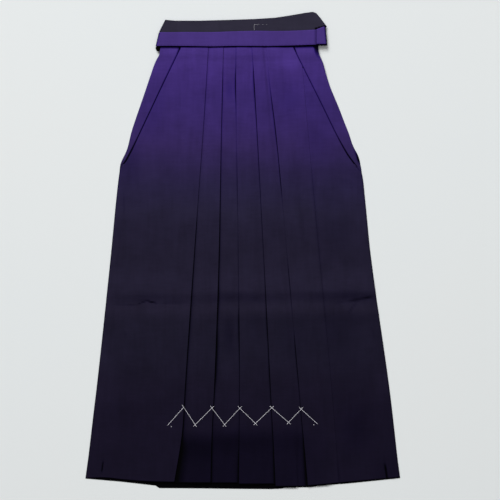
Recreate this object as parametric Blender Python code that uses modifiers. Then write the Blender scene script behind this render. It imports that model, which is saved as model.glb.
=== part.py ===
"""Skirt-type hakama laid flat with its front up.

X runs to the right as the front is seen, Y towards the waist and Z up from the surface it lies on.
Places on the garment are given in millimetres: across from its middle line, and down from the lower
edge of its front waistband.
"""
import math
from collections import namedtuple

import bmesh
import bpy
from mathutils import Vector

MM = 0.001

# Driving sizes in millimetres
WAIST_Y = 424.0          # the lower edge of the front waistband, from the middle of the whole length
MIDDLE_X = 0.55          # the middle of the hem, from the middle of the waist
SKIRT_WALL = 1.0
GAP = 0.3
PITCH = SKIRT_WALL + GAP
BAND_WALL = 3.0
BACK_BAND_WALL = 1.5
TIE_PACK_HEIGHT = 4.0
PLEAT_CLEARANCE = 2.2    # from a fold to where the cloth beside it starts to rise
PLEAT_DEPTH_WAIST = 17.0
PLEAT_DEPTH_HEM = 42.0
HEM_DOWN = 905.0
SIDE_PANEL_TOP = 42.0
CREASE_DOWN = 516.0      # the soft ridge across the skirt where it was folded for storage
CREASE_RISE = 1.1
RIPPLE_RISE = 0.9        # the soft ridge inside each side edge
RIPPLE_INSET = 15.0
SLIT_END = 248.0         # the side slits reach down to here
RIPPLE_HALF = 8.0
SLOPE_WAIST = 14.0       # how far the outer panels take to come down from the outer pleats
SLOPE_HEM = 40.0
BAND_CLEARANCE = 1.0     # from the back skirt up to the front band
BACK_SKIRT_TOP = -7.0    # its upper edge, under the front band and on the back band
OVER_BAND_END = 17.0     # the skirt lies level over the back band to here
OVER_TIES_START = 30.0   # level over the folded ties from here
OVER_TIES_END = 38.0     # to here
ON_SURFACE = 120.0       # and on the surface from here

# Heights of the layers at the waist, from the surface up
BACK_BAND_BOTTOM = TIE_PACK_HEIGHT + GAP
OVER_BAND_HEIGHT = BACK_BAND_BOTTOM + BACK_BAND_WALL + GAP
FRONT_BAND_MIDDLE = OVER_BAND_HEIGHT + SKIRT_WALL + BAND_CLEARANCE + BAND_WALL / 2
WRAP_UNDER_MIDDLE = TIE_PACK_HEIGHT - BAND_WALL / 2
WRAP_RADIUS = (FRONT_BAND_MIDDLE - WRAP_UNDER_MIDDLE) / 2

# Side edges of the two skirts: the back's show beside the slits, which end where the edges meet
Edges = namedtuple("Edges", "down back_left front_left front_right back_right")
EDGES = (
    Edges(0, -170.5, -126.9, 104.1, 155.8),
    Edges(22, -173.3, -137.6, 115.4, 162.4),
    Edges(43, -186.0, -147.8, 126.2, 168.7),
    Edges(111, -207.6, -180.8, 160.7, 193.1),
    Edges(153, -222.1, -201.0, 181.4, 209.7),
    Edges(181, -230.1, -214.4, 195.4, 221.1),
    Edges(209, -237.3, -228.1, 210.5, 230.3),
    Edges(226, -245.4, -237.2, 220.1, 238.5),
    Edges(238, -251.2, -243.7, 228.5, 243.2),
    Edges(246, -253.1, -250.5, 234.1, 245.4),
    Edges(251, -254.1, -254.0, 237.7, 246.4),
    Edges(263, -255.6, -255.6, 247.9, 247.9),
    Edges(319, -262.5, -262.5, 254.8, 254.8),
    Edges(423, -272.5, -272.5, 265.2, 265.2),
    Edges(714, -303.7, -303.7, 305.7, 305.7),
    Edges(755, -308.7, -308.7, 310.7, 310.7),
    Edges(896, -326.3, -326.3, 327.4, 327.4),
)

# The visible fold of each pleat and the long seam, across, at lengths down the skirt
Folds = namedtuple("Folds", "down first second third fourth fifth seam")
FOLDS = (
    Folds(0, -70.7, -39.6, -12.3, 20.0, 50.0, 120.8),
    Folds(67, -75.0, -41.7, -13.3, 24.7, 55.9, 126.6),
    Folds(182, -82.5, -44.4, -11.8, 31.2, 70.3, 136.6),
    Folds(423, -100.0, -49.1, -8.1, 44.1, 92.5, 158.6),
    Folds(714, -119.9, -59.2, -5.4, 59.0, 118.3, 185.7),
    Folds(811, -126.0, -64.1, -6.2, 63.9, 126.5, 193.6),
    Folds(905, -140.3, -66.3, -7.3, 68.6, 134.5, 200.9),
)
# The cloth of a pleat is folded under to the left of the first two folds, to the right of the others
PLEATS = (("first", -1), ("second", -1), ("third", 1), ("fourth", 1), ("fifth", 1))

# Lower edges: the front's by what shows, the back's as one line with its layers' steps
Point = namedtuple("Point", "across down")
LEFT_PANEL_HEM = (
    Point(-326.3, 896.2), Point(-291.6, 895.4), Point(-245.5, 899.6),
    Point(-199.1, 903.1), Point(-139.1, 904.4),
)
RIGHT_PANEL_HEM = (Point(134.1, 912.9), Point(200.6, 907.1), Point(327.4, 895.4))
STRIP_HEM = (906.6, 907.1, 909.1, 914.2)
HIDDEN_PLY_DROP = 2.0
BACK_HEM = (
    Point(-326.3, 897.7), Point(-257.7, 903.5), Point(-178.0, 912.5), Point(-174.6, 917.7),
    Point(-91.0, 917.9), Point(-8.3, 918.9), Point(58.2, 919.5), Point(86.3, 918.3),
    Point(91.5, 916.2), Point(141.3, 915.4), Point(158.0, 912.9), Point(224.5, 907.3),
    Point(327.4, 896.7),
)

# Lengths down the skirt at which its sections are taken, short of the hem
SECTIONS = (17, 30, 38, 47, 66, 90, 120, 146, 181, 209, 226, 238, 246, 251, 263, 319, 370, 423, 470, 502,
            516, 531, 580, 650, 714, 755, 811, 866)

# Outline of the back waistband: its lower corners reach out below the front band
BAND_OUTLINE = (
    Point(-160.3, -55.1), Point(-140.3, -53.2), Point(-88.3, -53.2), Point(-26.0, -54.9),
    Point(26.0, -56.7), Point(67.6, -59.4), Point(98.7, -64.0), Point(129.9, -69.4),
    Point(145.5, -71.5), Point(152.8, -69.2), Point(161.1, -60.5), Point(170.6, -43.6),
    Point(167.0, -41.9), Point(158.0, -1.0), Point(159.8, 15.8), Point(-169.4, 9.1),
    Point(-176.5, 7.5), Point(-179.0, 4.0), Point(-178.0, 1.2), Point(-174.0, -1.0),
    Point(-167.2, -30.6), Point(-171.2, -31.8),
)

# Corners of the front band and of the right tie where it shows: upper and lower edge at each end
StripEnd = namedtuple("StripEnd", "across_top down_top across_bottom down_bottom")
BAND_WRAP_END = StripEnd(-172.7, -30.1, -179.4, 0.0)
BAND_SEAM_END = StripEnd(151.3, -36.2, 151.3, -4.0)
TIE_SEAM_END = StripEnd(151.6, -37.0, 151.6, -4.0)
TIE_WRAP_END = StripEnd(172.5, -40.9, 175.4, -4.2)
BAND_RETURN = -146.0     # where the wrapped ends stop underneath
TIE_RETURN = 140.0

# Folded ties under the waist
TiePack = namedtuple("TiePack", "outer inner top bottom")
FRONT_PACK_LEFT = TiePack(BAND_RETURN + GAP, -8.0, -32.0, -2.0)
FRONT_PACK_RIGHT = TiePack(152.0, 10.0, -36.5, -5.0)
BACK_PACK_LEFT = TiePack(-164.0, -18.0, 2.5, 34.5)
BACK_PACK_RIGHT = TiePack(152.0, 12.0, 2.5, 34.5)
PACK_LAYERS = 4
PACK_GROOVE = 0.6
PACK_CORNER = 3.0

SKIRT_COLOUR = (0.035, 0.022, 0.085)
BAND_COLOUR = (0.075, 0.038, 0.200)
LINING_COLOUR = (0.024, 0.021, 0.034)


def clear_scene():
    for obj in list(bpy.data.objects):
        bpy.data.objects.remove(obj, do_unlink=True)


def make_collection(name):
    collection = bpy.data.collections.new(name)
    bpy.context.scene.collection.children.link(collection)
    return collection


def make_material(name, colour, roughness):
    material = bpy.data.materials.new(name)
    material.use_nodes = True
    shader = material.node_tree.nodes["Principled BSDF"]
    shader.inputs["Base Color"].default_value = (*colour, 1.0)
    shader.inputs["Roughness"].default_value = roughness
    shader.inputs["Metallic"].default_value = 0.0
    return material


def blend(value, low, high, low_result, high_result):
    share = (value - low) / (high - low)
    share = min(max(share, 0.0), 1.0)
    return low_result + (high_result - low_result) * share


def read_table(rows, key, wanted, value):
    """Value of a named column where another column is key, along straight lines between rows."""
    if key <= getattr(rows[0], wanted):
        return getattr(rows[0], value)
    for low, high in zip(rows, rows[1:]):
        if key <= getattr(high, wanted):
            return blend(key, getattr(low, wanted), getattr(high, wanted),
                         getattr(low, value), getattr(high, value))
    return getattr(rows[-1], value)


def edge(name, down):
    return read_table(EDGES, down, "down", name)


def fold(name, down):
    return read_table(FOLDS, down, "down", name)


def hem(rows, across):
    return read_table(rows, across, "across", "down")


def place(across, down, height):
    return Vector(((across - MIDDLE_X) * MM, (WAIST_Y - down) * MM, height * MM))


def bump(value, centre, half_width):
    """A smooth hump of height 1 at centre that falls to 0 at half_width from it."""
    share = abs(value - centre) / half_width
    if share >= 1.0:
        return 0.0
    return 0.5 + 0.5 * math.cos(math.pi * share)


def back_rise(down):
    """Height of the back skirt's underside: over the back band, over the ties, on the surface."""
    if down < OVER_TIES_START:
        return blend(down, OVER_BAND_END, OVER_TIES_START, OVER_BAND_HEIGHT, BACK_BAND_BOTTOM)
    return blend(down, OVER_TIES_END, ON_SURFACE, BACK_BAND_BOTTOM, 0.0)


def front_rise(down):
    """Height of the middle of the front skirt's lowest layer, over the back skirt."""
    return back_rise(down) + PITCH + SKIRT_WALL / 2 + CREASE_RISE * bump(down, CREASE_DOWN, 16.0)


def grid_object(name, rows, wall, material, collection, edge_round=0.0):
    """An open surface through equal rows of points, made a wall by Solidify."""
    mesh = bpy.data.meshes.new(name)
    shape = bmesh.new()
    lattice = [[shape.verts.new(point) for point in row] for row in rows]
    for upper, lower in zip(lattice, lattice[1:]):
        for index in range(len(upper) - 1):
            shape.faces.new((upper[index], lower[index], lower[index + 1], upper[index + 1]))
    shape.to_mesh(mesh)
    shape.free()
    mesh.materials.append(material)
    mesh.shade_smooth()
    obj = bpy.data.objects.new(name, mesh)
    collection.objects.link(obj)
    solidify = obj.modifiers.new("Wall", "SOLIDIFY")
    solidify.thickness = wall * MM
    solidify.offset = 0.0
    if edge_round > 0.0:
        bevel = obj.modifiers.new("Rounded edges", "BEVEL")
        bevel.width = edge_round * MM
        bevel.segments = 2
        bevel.limit_method = "ANGLE"
        bevel.angle_limit = math.radians(60.0)
    return obj


def half_turn(across, height, start, end):
    """Points round a fold of the cloth, seen along the skirt, from one angle in degrees to another."""
    radius = PITCH / 2
    points = []
    for step in range(4):
        angle = math.radians(start + (end - start) * step / 3)
        points.append((across + radius * math.cos(angle), height + radius * math.sin(angle)))
    return points


def pleat_section(name, side, down):
    """One knife pleat from left to right as (across, height) over the lowest layer: the visible fold
    and the one that is folded under, three layers thick between them."""
    visible = fold(name, down)
    depth = blend(down, 0.0, HEM_DOWN, PLEAT_DEPTH_WAIST, PLEAT_DEPTH_HEM)
    hidden = visible + side * depth
    radius = PITCH / 2
    inner = hidden - side * radius
    outer = visible + side * radius
    if side < 0:
        shown = half_turn(outer, PITCH * 1.5, 90.0, -90.0)
        buried = half_turn(inner, PITCH * 0.5, 90.0, 270.0)
        before = [(hidden - PLEAT_CLEARANCE, PITCH * 2)]
        after = [(visible + PLEAT_CLEARANCE, 0.0)]
        return before + shown + buried + after
    buried = half_turn(inner, PITCH * 0.5, -90.0, 90.0)
    shown = half_turn(outer, PITCH * 1.5, 270.0, 90.0)
    before = [(visible - PLEAT_CLEARANCE, 0.0)]
    after = [(hidden + PLEAT_CLEARANCE, PITCH * 2)]
    return before + buried + shown + after


def ripple_rise(down):
    """Height of the soft ridge inside each side edge, which starts where the slits end."""
    return blend(down, SLIT_END - RIPPLE_INSET, SLIT_END + RIPPLE_INSET, 0.0, RIPPLE_RISE)


def left_panel_section(left, right, down):
    """Points across the left panel, which lies level but for the soft ridge inside its edge."""
    half = min(RIPPLE_HALF, (right - left) * 0.15)
    ridge = left + min(RIPPLE_INSET, 2 * half)
    return [(left, 0.0), (ridge - half, 0.0), (ridge, ripple_rise(down)), (ridge + half, 0.0),
            ((left + right) / 2, 0.0), (right, 0.0)]


def front_section(down):
    """The front at one length as a left panel, five pleats and a right panel, each a list of points
    (across, height) from left to right, over its lowest layer."""
    left = edge("front_left", down)
    right = edge("front_right", down)
    if down > SIDE_PANEL_TOP:
        right = fold("seam", down) - GAP / 2
    pleats = [pleat_section(name, side, down) for name, side in PLEATS]
    slope_left = pleats[0][0][0] - blend(down, 0.0, HEM_DOWN, SLOPE_WAIST, SLOPE_HEM)
    slope_right = pleats[-1][-1][0] + SLOPE_WAIST
    left_panel = left_panel_section(left, slope_left, down)
    right_panel = [(slope_right, 0.0), ((slope_right + right) / 2, 0.0), (right, 0.0)]
    return [left_panel, *pleats, right_panel]


def front_hem(section):
    """How far down each point of the last section lies: each strip ends at its own length, and the
    cloth that is folded under hangs a little lower."""
    left_panel, *pleats, right_panel = section
    shown = (LEFT_PANEL_HEM[-1].down, *STRIP_HEM, RIGHT_PANEL_HEM[0].down)
    downs = [hem(LEFT_PANEL_HEM, across) for across, height in left_panel]
    for pleat, left, right in zip(pleats, shown, shown[1:]):
        under = max(left, right) + HIDDEN_PLY_DROP
        downs += [left] * 2 + [under] * (len(pleat) - 4) + [right] * 2
    downs += [hem(RIGHT_PANEL_HEM, across) for across, height in right_panel]
    return downs


def band_edge(across):
    """How far down the lower edge of the front band lies."""
    return blend(across, BAND_WRAP_END.across_bottom, BAND_SEAM_END.across_bottom,
                 BAND_WRAP_END.down_bottom, BAND_SEAM_END.down_bottom)


def make_front_skirt(material, collection):
    rows = []
    row = []
    for across, height in sum(front_section(0.0), []):
        down = band_edge(across) + GAP
        row.append(place(across, down, front_rise(down) + height))
    rows.append(row)
    for down in SECTIONS:
        points = sum(front_section(down), [])
        rows.append([place(across, down, front_rise(down) + height) for across, height in points])
    last = front_section(HEM_DOWN)
    row = []
    for (across, height), down in zip(sum(last, []), front_hem(last)):
        row.append(place(across, down, front_rise(down) + height))
    rows.append(row)
    return grid_object("front_skirt", rows, SKIRT_WALL, material, collection)


def make_side_panel(material, collection):
    """The right side width, from the long seam to the edge, with a soft ridge near that edge."""
    rows = []
    for down in (*SECTIONS, HEM_DOWN):
        if down < SIDE_PANEL_TOP:
            continue
        left = fold("seam", down) + GAP / 2
        right = edge("front_right", down)
        ridge = max(right - RIPPLE_INSET, (left + right) / 2)
        row = []
        for across, height in ((left, 0.0), ((left + ridge) / 2, 0.0), (ridge, ripple_rise(down)),
                               (right, 0.0)):
            length = hem(RIGHT_PANEL_HEM, across) if down == HEM_DOWN else down
            row.append(place(across, length, front_rise(length) + height))
        rows.append(row)
    return grid_object("front_side_panel_right", rows, SKIRT_WALL, material, collection)


def make_back_skirt(material, collection):
    hem_left = BACK_HEM[0].across
    hem_width = BACK_HEM[-1].across - hem_left
    shares = [(point.across - hem_left) / hem_width for point in BACK_HEM]
    rows = []
    for down in (BACK_SKIRT_TOP, *SECTIONS, HEM_DOWN):
        left = edge("back_left", down)
        right = edge("back_right", down)
        row = []
        for share, end in zip(shares, BACK_HEM):
            across = left + (right - left) * share
            length = end.down if down == HEM_DOWN else down
            row.append(place(across, length, back_rise(length) + SKIRT_WALL / 2))
        rows.append(row)
    return grid_object("back_skirt", rows, SKIRT_WALL, material, collection)


def make_back_band(material, collection):
    curve = bpy.data.curves.new("back_band", "CURVE")
    curve.dimensions = "2D"
    curve.fill_mode = "BOTH"
    curve.extrude = BACK_BAND_WALL / 2 * MM
    spline = curve.splines.new("POLY")
    spline.points.add(len(BAND_OUTLINE) - 1)
    for point, corner in zip(spline.points, BAND_OUTLINE):
        at = place(corner.across, corner.down, 0.0)
        point.co = (at.x, at.y, 0.0, 1.0)
    spline.use_cyclic_u = True
    curve.materials.append(material)
    obj = bpy.data.objects.new("back_band", curve)
    obj.location.z = (BACK_BAND_BOTTOM + BACK_BAND_WALL / 2) * MM
    collection.objects.link(obj)
    return obj


def wrapped_strip(name, seam, wrap, return_x, material, collection):
    """A band from its seam to its wrapped end, round that end and back a little way underneath."""
    side = -1.0 if wrap.across_top < 0 else 1.0
    turn = WRAP_RADIUS + BAND_WALL / 2
    rows = []
    for row in range(5):
        share = row / 4
        seam_x = seam.across_top + (seam.across_bottom - seam.across_top) * share
        wrap_x = wrap.across_top + (wrap.across_bottom - wrap.across_top) * share - side * turn
        seam_down = seam.down_top + (seam.down_bottom - seam.down_top) * share
        wrap_down = wrap.down_top + (wrap.down_bottom - wrap.down_top) * share
        path = []
        steps = max(2, round(abs(wrap_x - seam_x) / 40.0))
        for step in range(steps):
            along = step / steps
            path.append((seam_x + (wrap_x - seam_x) * along,
                         seam_down + (wrap_down - seam_down) * along, FRONT_BAND_MIDDLE))
        centre = (FRONT_BAND_MIDDLE + WRAP_UNDER_MIDDLE) / 2
        for step in range(9):
            angle = math.radians(90.0 - 180.0 * step / 8)
            path.append((wrap_x + side * WRAP_RADIUS * math.cos(angle), wrap_down,
                         centre + WRAP_RADIUS * math.sin(angle)))
        path.append((return_x, wrap_down, WRAP_UNDER_MIDDLE))
        rows.append([place(*point) for point in path])
    if side < 0:
        rows.reverse()
    return grid_object(name, rows, BAND_WALL, material, collection, edge_round=0.6)


def pack_ring(pack, inset, height):
    """A rounded rectangle round a folded tie, at one height."""
    low_x, high_x = sorted((pack.outer, pack.inner))
    points = []
    corners = ((high_x, pack.bottom, 0.0), (high_x, pack.top, 90.0),
               (low_x, pack.top, 180.0), (low_x, pack.bottom, 270.0))
    for corner_x, corner_down, start in corners:
        toward_x = -1.0 if corner_x == high_x else 1.0
        toward_down = -1.0 if corner_down == pack.bottom else 1.0
        centre_x = corner_x + toward_x * PACK_CORNER
        centre_down = corner_down + toward_down * PACK_CORNER
        radius = PACK_CORNER - inset
        for step in range(3):
            angle = math.radians(start - 90.0 + 45.0 * step)
            points.append(place(centre_x + radius * math.cos(angle),
                                centre_down - radius * math.sin(angle), height))
    return points


def make_tie_pack(name, pack, top, material, collection):
    """A tie folded up on itself: one rounded solid whose sides show its layers."""
    layer = top / PACK_LAYERS
    rings = [(PACK_GROOVE, 0.0)]
    for number in range(PACK_LAYERS):
        base = number * layer
        rings.append((0.0, base + layer * 0.25))
        rings.append((0.0, base + layer * 0.75))
        rings.append((PACK_GROOVE, base + layer))
    mesh = bpy.data.meshes.new(name)
    shape = bmesh.new()
    loops = []
    for inset, height in rings:
        loops.append([shape.verts.new(point) for point in pack_ring(pack, inset, height)])
    count = len(loops[0])
    for lower, upper in zip(loops, loops[1:]):
        for index in range(count):
            following = (index + 1) % count
            shape.faces.new((lower[index], lower[following], upper[following], upper[index]))
    shape.faces.new(list(reversed(loops[0])))
    shape.faces.new(loops[-1])
    bmesh.ops.recalc_face_normals(shape, faces=shape.faces[:])
    shape.to_mesh(mesh)
    shape.free()
    mesh.materials.append(material)
    obj = bpy.data.objects.new(name, mesh)
    collection.objects.link(obj)
    return obj


def join_solid(obj, other):
    """Makes two solids one, and keeps the second as a guide."""
    union = obj.modifiers.new("Joined", "BOOLEAN")
    union.operation = "UNION"
    union.solver = "EXACT"
    union.object = other
    other.hide_render = True
    other.display_type = "WIRE"


def build():
    clear_scene()
    garment = make_collection("hakama")
    guides = make_collection("guides")
    skirt_back = make_material("back skirt cloth", SKIRT_COLOUR, 0.8)
    skirt_front = make_material("front skirt cloth", SKIRT_COLOUR, 0.8)
    skirt_side = make_material("side panel cloth", SKIRT_COLOUR, 0.8)
    band = make_material("front band cloth", BAND_COLOUR, 0.75)
    lining = make_material("back band inner side", LINING_COLOUR, 0.85)
    make_back_skirt(skirt_back, garment)
    make_front_skirt(skirt_front, garment)
    make_side_panel(skirt_side, garment)
    make_back_band(lining, garment)
    wrapped_strip("front_band", BAND_SEAM_END, BAND_WRAP_END, BAND_RETURN, band, garment)
    tie_right_cloth = make_material("right front tie cloth", BAND_COLOUR, 0.75)
    tie_right = wrapped_strip("front_tie_right", TIE_SEAM_END, TIE_WRAP_END, TIE_RETURN, tie_right_cloth,
                              garment)
    right_pack = make_tie_pack("front_tie_right_pack", FRONT_PACK_RIGHT, TIE_PACK_HEIGHT - 0.1,
                               tie_right_cloth, guides)
    join_solid(tie_right, right_pack)
    for name, pack in (("front_tie_left", FRONT_PACK_LEFT), ("back_tie_left", BACK_PACK_LEFT),
                       ("back_tie_right", BACK_PACK_RIGHT)):
        cloth = make_material(name + " cloth", BAND_COLOUR, 0.75)
        make_tie_pack(name, pack, TIE_PACK_HEIGHT, cloth, garment)


build()
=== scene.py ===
"""Dressed model of a skirt-type hakama that lies flat with its front up.

Places on the garment are in millimetres: across from its middle line, down from the lower edge of
its front waistband, and up from the surface that it lies on.
"""
import math
from collections import namedtuple

import bmesh
import bpy
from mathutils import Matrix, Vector, noise
from mathutils.bvhtree import BVHTree


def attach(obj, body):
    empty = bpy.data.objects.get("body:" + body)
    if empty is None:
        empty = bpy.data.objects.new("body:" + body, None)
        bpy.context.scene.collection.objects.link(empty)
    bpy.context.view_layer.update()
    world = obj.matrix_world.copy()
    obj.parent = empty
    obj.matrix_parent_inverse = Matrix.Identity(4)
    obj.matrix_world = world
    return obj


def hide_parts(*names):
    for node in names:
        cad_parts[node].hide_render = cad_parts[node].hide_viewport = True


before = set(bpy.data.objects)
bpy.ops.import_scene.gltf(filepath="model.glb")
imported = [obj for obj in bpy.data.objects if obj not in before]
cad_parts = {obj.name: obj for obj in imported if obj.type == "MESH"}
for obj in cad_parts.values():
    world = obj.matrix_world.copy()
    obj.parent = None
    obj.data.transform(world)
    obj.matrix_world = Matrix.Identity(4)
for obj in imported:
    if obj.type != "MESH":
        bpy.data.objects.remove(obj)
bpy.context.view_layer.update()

MM = 0.001


def table(kind, *rows):
    """A table whose rows have the kind's named columns."""
    return tuple(kind(*row) for row in rows)


# Sizes that the solids have too
WAIST_Y = 424.0
MIDDLE_X = 0.55
HEM_DOWN = 905.0
SIDE_PANEL_TOP = 42.0
SLIT_END = 248.0
PLEAT_DEPTH_WAIST = 17.0
PLEAT_DEPTH_HEM = 42.0
PLEAT_CLEARANCE = 2.2
SLOPE_WAIST = 14.0
SLOPE_HEM = 40.0
RIPPLE_INSET = 15.0
RIPPLE_HALF = 8.0

# The cloth as it looks: thinner than the solids, on the same layers
CLOTH = 0.55
PLY = 0.95
BACK_LAYER = 0.3
FRONT_LAYER = 1.8
BAND_HALF = 1.35
BACK_BAND_CLOTH = 1.3
BACK_BAND_MIDDLE = 5.05
WRAP_RADIUS = 3.55
WRAP_CENTRE = 6.05
BAND_ROUND = 1.5
TIE_CLOTH = 0.75
TUBE_CLOTH = 0.35
SEAM_HALF_GAP = 0.12
UNDER_BAND = 0.25        # from the front band's lower edge to the skirt's first row
BAND_REACH = 17.0        # the skirt's rows follow that edge to here

Edges = namedtuple("Edges", "down back_left front_left front_right back_right")
EDGES = table(Edges,
    (-10, -168.2, -122.0, 99.0, 153.4),
    (0, -168.6, -126.9, 104.1, 155.2),
    (4, -169.2, -128.8, 106.2, 155.8),
    (9, -170.7, -131.2, 108.8, 156.9),
    (14, -171.7, -133.7, 111.3, 158.1),
    (18, -173.0, -135.6, 113.2, 159.8),
    (24, -176.3, -138.6, 116.2, 162.7),
    (32, -180.6, -142.5, 120.3, 166.3),
    (43, -185.0, -147.8, 125.8, 169.6),
    (58, -190.2, -155.1, 133.3, 173.8),
    (76, -196.4, -163.8, 142.3, 179.2),
    (95, -202.8, -173.0, 151.9, 186.6),
    (111, -208.4, -180.6, 159.9, 193.5),
    (132, -215.7, -190.5, 170.2, 202.2),
    (153, -222.9, -200.4, 180.4, 210.1),
    (181, -231.8, -213.6, 194.1, 221.2),
    (205, -237.4, -225.0, 206.9, 229.2),
    (216, -240.9, -230.3, 213.1, 234.7),
    (226, -245.4, -235.6, 219.2, 240.1),
    (238, -251.2, -242.2, 228.0, 243.9),
    (246, -254.0, -248.9, 234.0, 245.2),
    (251, -254.8, -253.6, 237.7, 246.4),
    (263, -255.9, -255.9, 247.9, 247.9),
    (319, -262.5, -262.5, 254.8, 254.8),
    (423, -272.5, -272.5, 265.2, 265.2),
    (714, -303.7, -303.7, 305.7, 305.7),
    (755, -308.7, -308.7, 310.7, 310.7),
    (905, -326.3, -326.3, 327.4, 327.4),
)

Folds = namedtuple("Folds", "down first second third fourth fifth seam")
FOLDS = table(Folds,
    (-10, -70.0, -39.3, -12.1, 19.4, 49.2, 120.0),
    (0, -70.7, -39.6, -12.3, 20.0, 50.0, 120.8),
    (67, -75.0, -41.7, -13.3, 24.7, 55.9, 126.6),
    (182, -82.5, -44.4, -11.8, 31.2, 70.3, 136.6),
    (423, -100.0, -49.1, -8.1, 44.1, 92.5, 158.6),
    (714, -119.9, -59.2, -5.4, 59.0, 118.3, 185.7),
    (785, -124.0, -63.0, -6.0, 62.6, 124.4, 191.6),
    (811, -126.6, -64.1, -6.2, 64.1, 127.0, 193.6),
    (905, -141.8, -66.6, -7.3, 69.0, 136.0, 200.9),
)
# Each pleat's name and the side that its cloth is folded under to
Pleat = namedtuple("Pleat", "name side")
PLEATS = table(Pleat, ("first", -1), ("second", -1), ("third", 1), ("fourth", 1), ("fifth", 1))
# How far each pleat's fold stands open: the width of the painted shade line beside it, 1 for a common one,
# and below 1 how strong that painted shade is
Opening = namedtuple("Opening", "down first second third fourth fifth")
OPENINGS = table(Opening,
    (0, 0.1, 0.0, 0.3, 0.3, 0.0),
    (28, 0.1, 0.0, 0.4, 0.4, 0.0),
    (78, 0.42, 0.9, 1.75, 1.95, 0.4),
    (128, 0.52, 1.05, 0.7, 1.35, 1.25),
    (178, 0.25, 0.82, 0.15, 1.0, 1.45),
    (228, 0.27, 1.0, 0.45, 0.95, 1.0),
    (278, 0.18, 1.2, 0.7, 0.75, 1.2),
    (328, 0.25, 1.35, 0.5, 0.7, 0.2),
    (378, 1.2, 1.7, 0.25, 0.75, 0.05),
    (428, 1.35, 1.95, 0.45, 0.7, 0.2),
    (478, 1.6, 1.9, 0.45, 0.9, 0.85),
    (528, 1.95, 2.9, 0.65, 1.3, 0.65),
    (578, 2.1, 2.3, 2.0, 1.75, 0.12),
    (628, 1.9, 3.5, 1.35, 1.3, 1.3),
    (678, 1.8, 3.3, 0.9, 1.75, 1.2),
    (720, 1.8, 1.6, 0.9, 1.35, 0.8),
    (800, 2.3, 1.4, 0.8, 1.45, 1.2),
    (830, 3.8, 1.9, 0.9, 1.6, 2.5),
    (850, 5.0, 2.1, 2.0, 2.3, 3.3),
    (905, 5.6, 2.5, 3.0, 3.2, 4.3),
)

Point = namedtuple("Point", "across down")
LEFT_PANEL_HEM = table(Point,
    (-326.3, 896.2), (-291.6, 895.4), (-245.5, 899.6),
    (-199.1, 903.1), (-139.1, 904.4),
)
RIGHT_PANEL_HEM = table(Point, (134.1, 912.9), (200.6, 907.1), (327.4, 895.4))
STRIP_HEM = (906.6, 907.1, 909.1, 914.2)
HIDDEN_PLY_DROP = 2.0
BACK_HEM = table(Point,
    (-326.3, 897.7), (-257.7, 903.5), (-178.2, 912.4), (-177.6, 917.4),
    (-91.0, 917.9), (-8.3, 918.9), (58.2, 919.5), (86.3, 918.3),
    (91.5, 916.2), (148.0, 915.4), (148.6, 912.8), (158.0, 912.5),
    (224.5, 907.3), (327.4, 896.7),
)
# Columns of the back beside the steps of its hem, as shares of the way across its middle
BACK_HEM_STEPS = (0.2266, 0.2276, 0.7256, 0.7266)

# Height of the back skirt's underside: over the back band, over the ties, on the surface
Lift = namedtuple("Lift", "down rise")
LIFT = table(Lift,
    (-10, 6.1), (17, 6.1), (30, 4.4), (38, 4.25), (60, 3.15), (90, 1.55),
    (112, 0.5), (126, 0.12), (148, 0.0), (920, 0.0),
)
# The soft ridge, trough and second ridge across the skirt where it was folded for storage
Fold = namedtuple("Fold", "past rise")
STORAGE_DOWN = 514.0
STORAGE_FOLD = table(Fold,
    (-44, 0.0), (-14, 1.15), (-5, 1.2), (12, -0.4), (18, -0.4), (38, 0.85),
    (45, 0.85), (66, 0.0), (90, 0.0),
)

# Painted shade along that fold, painted light where below 0, and how strongly it is painted from left to
# right
Shading = namedtuple("Shading", "past shade")
STORAGE_SHADES = table(Shading,
    (-60, 0.0), (-28, -0.08), (-11, -0.06), (-2, 0.1), (5, 0.24), (11, 0.27), (20, 0.04),
    (29, -0.03), (38, -0.04), (45, 0.05), (52, 0.07), (80, 0.03), (110, 0.0),
)
Strength = namedtuple("Strength", "across share")
STORAGE_STRENGTHS = table(Strength,
    (-265, 0.2), (-190, 0.72), (-75, 0.32), (-27, 0.85),
    (18, 0.85), (68, 0.5), (130, 0.72), (225, 1.15), (275, 1.05),
)

# Creases that show on the front: from one end to the other, with half width, rise and painted shade in them,
# painted light below 0
Crease = namedtuple("Crease", "across down end_across end_down width rise shade")
FRONT_CREASES = table(Crease,
    (-268, 536, -216, 537, 4.5, -0.45, 0.4),
    (-219, 536, -199, 528, 4.5, -0.7, 0.95),
    (-201, 528, -175, 534, 4.5, -0.7, 0.95),
    (-177, 534, -112, 531, 5.0, -0.35, 0.3),
    (214, 531, 276, 518, 8.0, -0.6, 0.55),
    (218, 556, 240, 528, 6.0, -0.5, 0.5),
    (190, 534, 214, 530, 5.5, -0.4, 0.3),
    (-240, 262, -237, 340, 5.5, 0.5, 0.0),
    (-247, 300, -246, 348, 4.0, -0.4, 0.2),
    (-252, 372, -262, 470, 6.0, -0.3, 0.1),
    (-250, 590, -238, 604, 7.0, -0.45, 0.2),
    (-262, 640, -274, 760, 8.0, 0.35, 0.0),
    (236, 246, 238, 320, 5.5, 0.45, 0.0),
    (262, 408, 268, 440, 5.0, -0.4, 0.15),
    (268, 580, 276, 616, 5.0, -0.4, 0.15),
    (258, 650, 282, 800, 8.0, 0.35, 0.0),
    (-289, 860, -293, 887, 4.0, -0.6, 1.5),
    (295, 862, 302, 908, 6.4, -0.6, 1.3),
    (196, 268, 226, 268, 3.0, 0.3, -0.12),
    (79, 620, 84, 740, 4.5, 0.25, -0.08),
    (-160, 340, -176, 470, 12.0, 0.35, 0.0),
    (-196, 640, -188, 780, 14.0, -0.3, 0.0),
    (172, 330, 184, 450, 10.0, 0.3, 0.0),
    (232, 690, 226, 820, 12.0, -0.3, 0.0),
)
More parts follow.
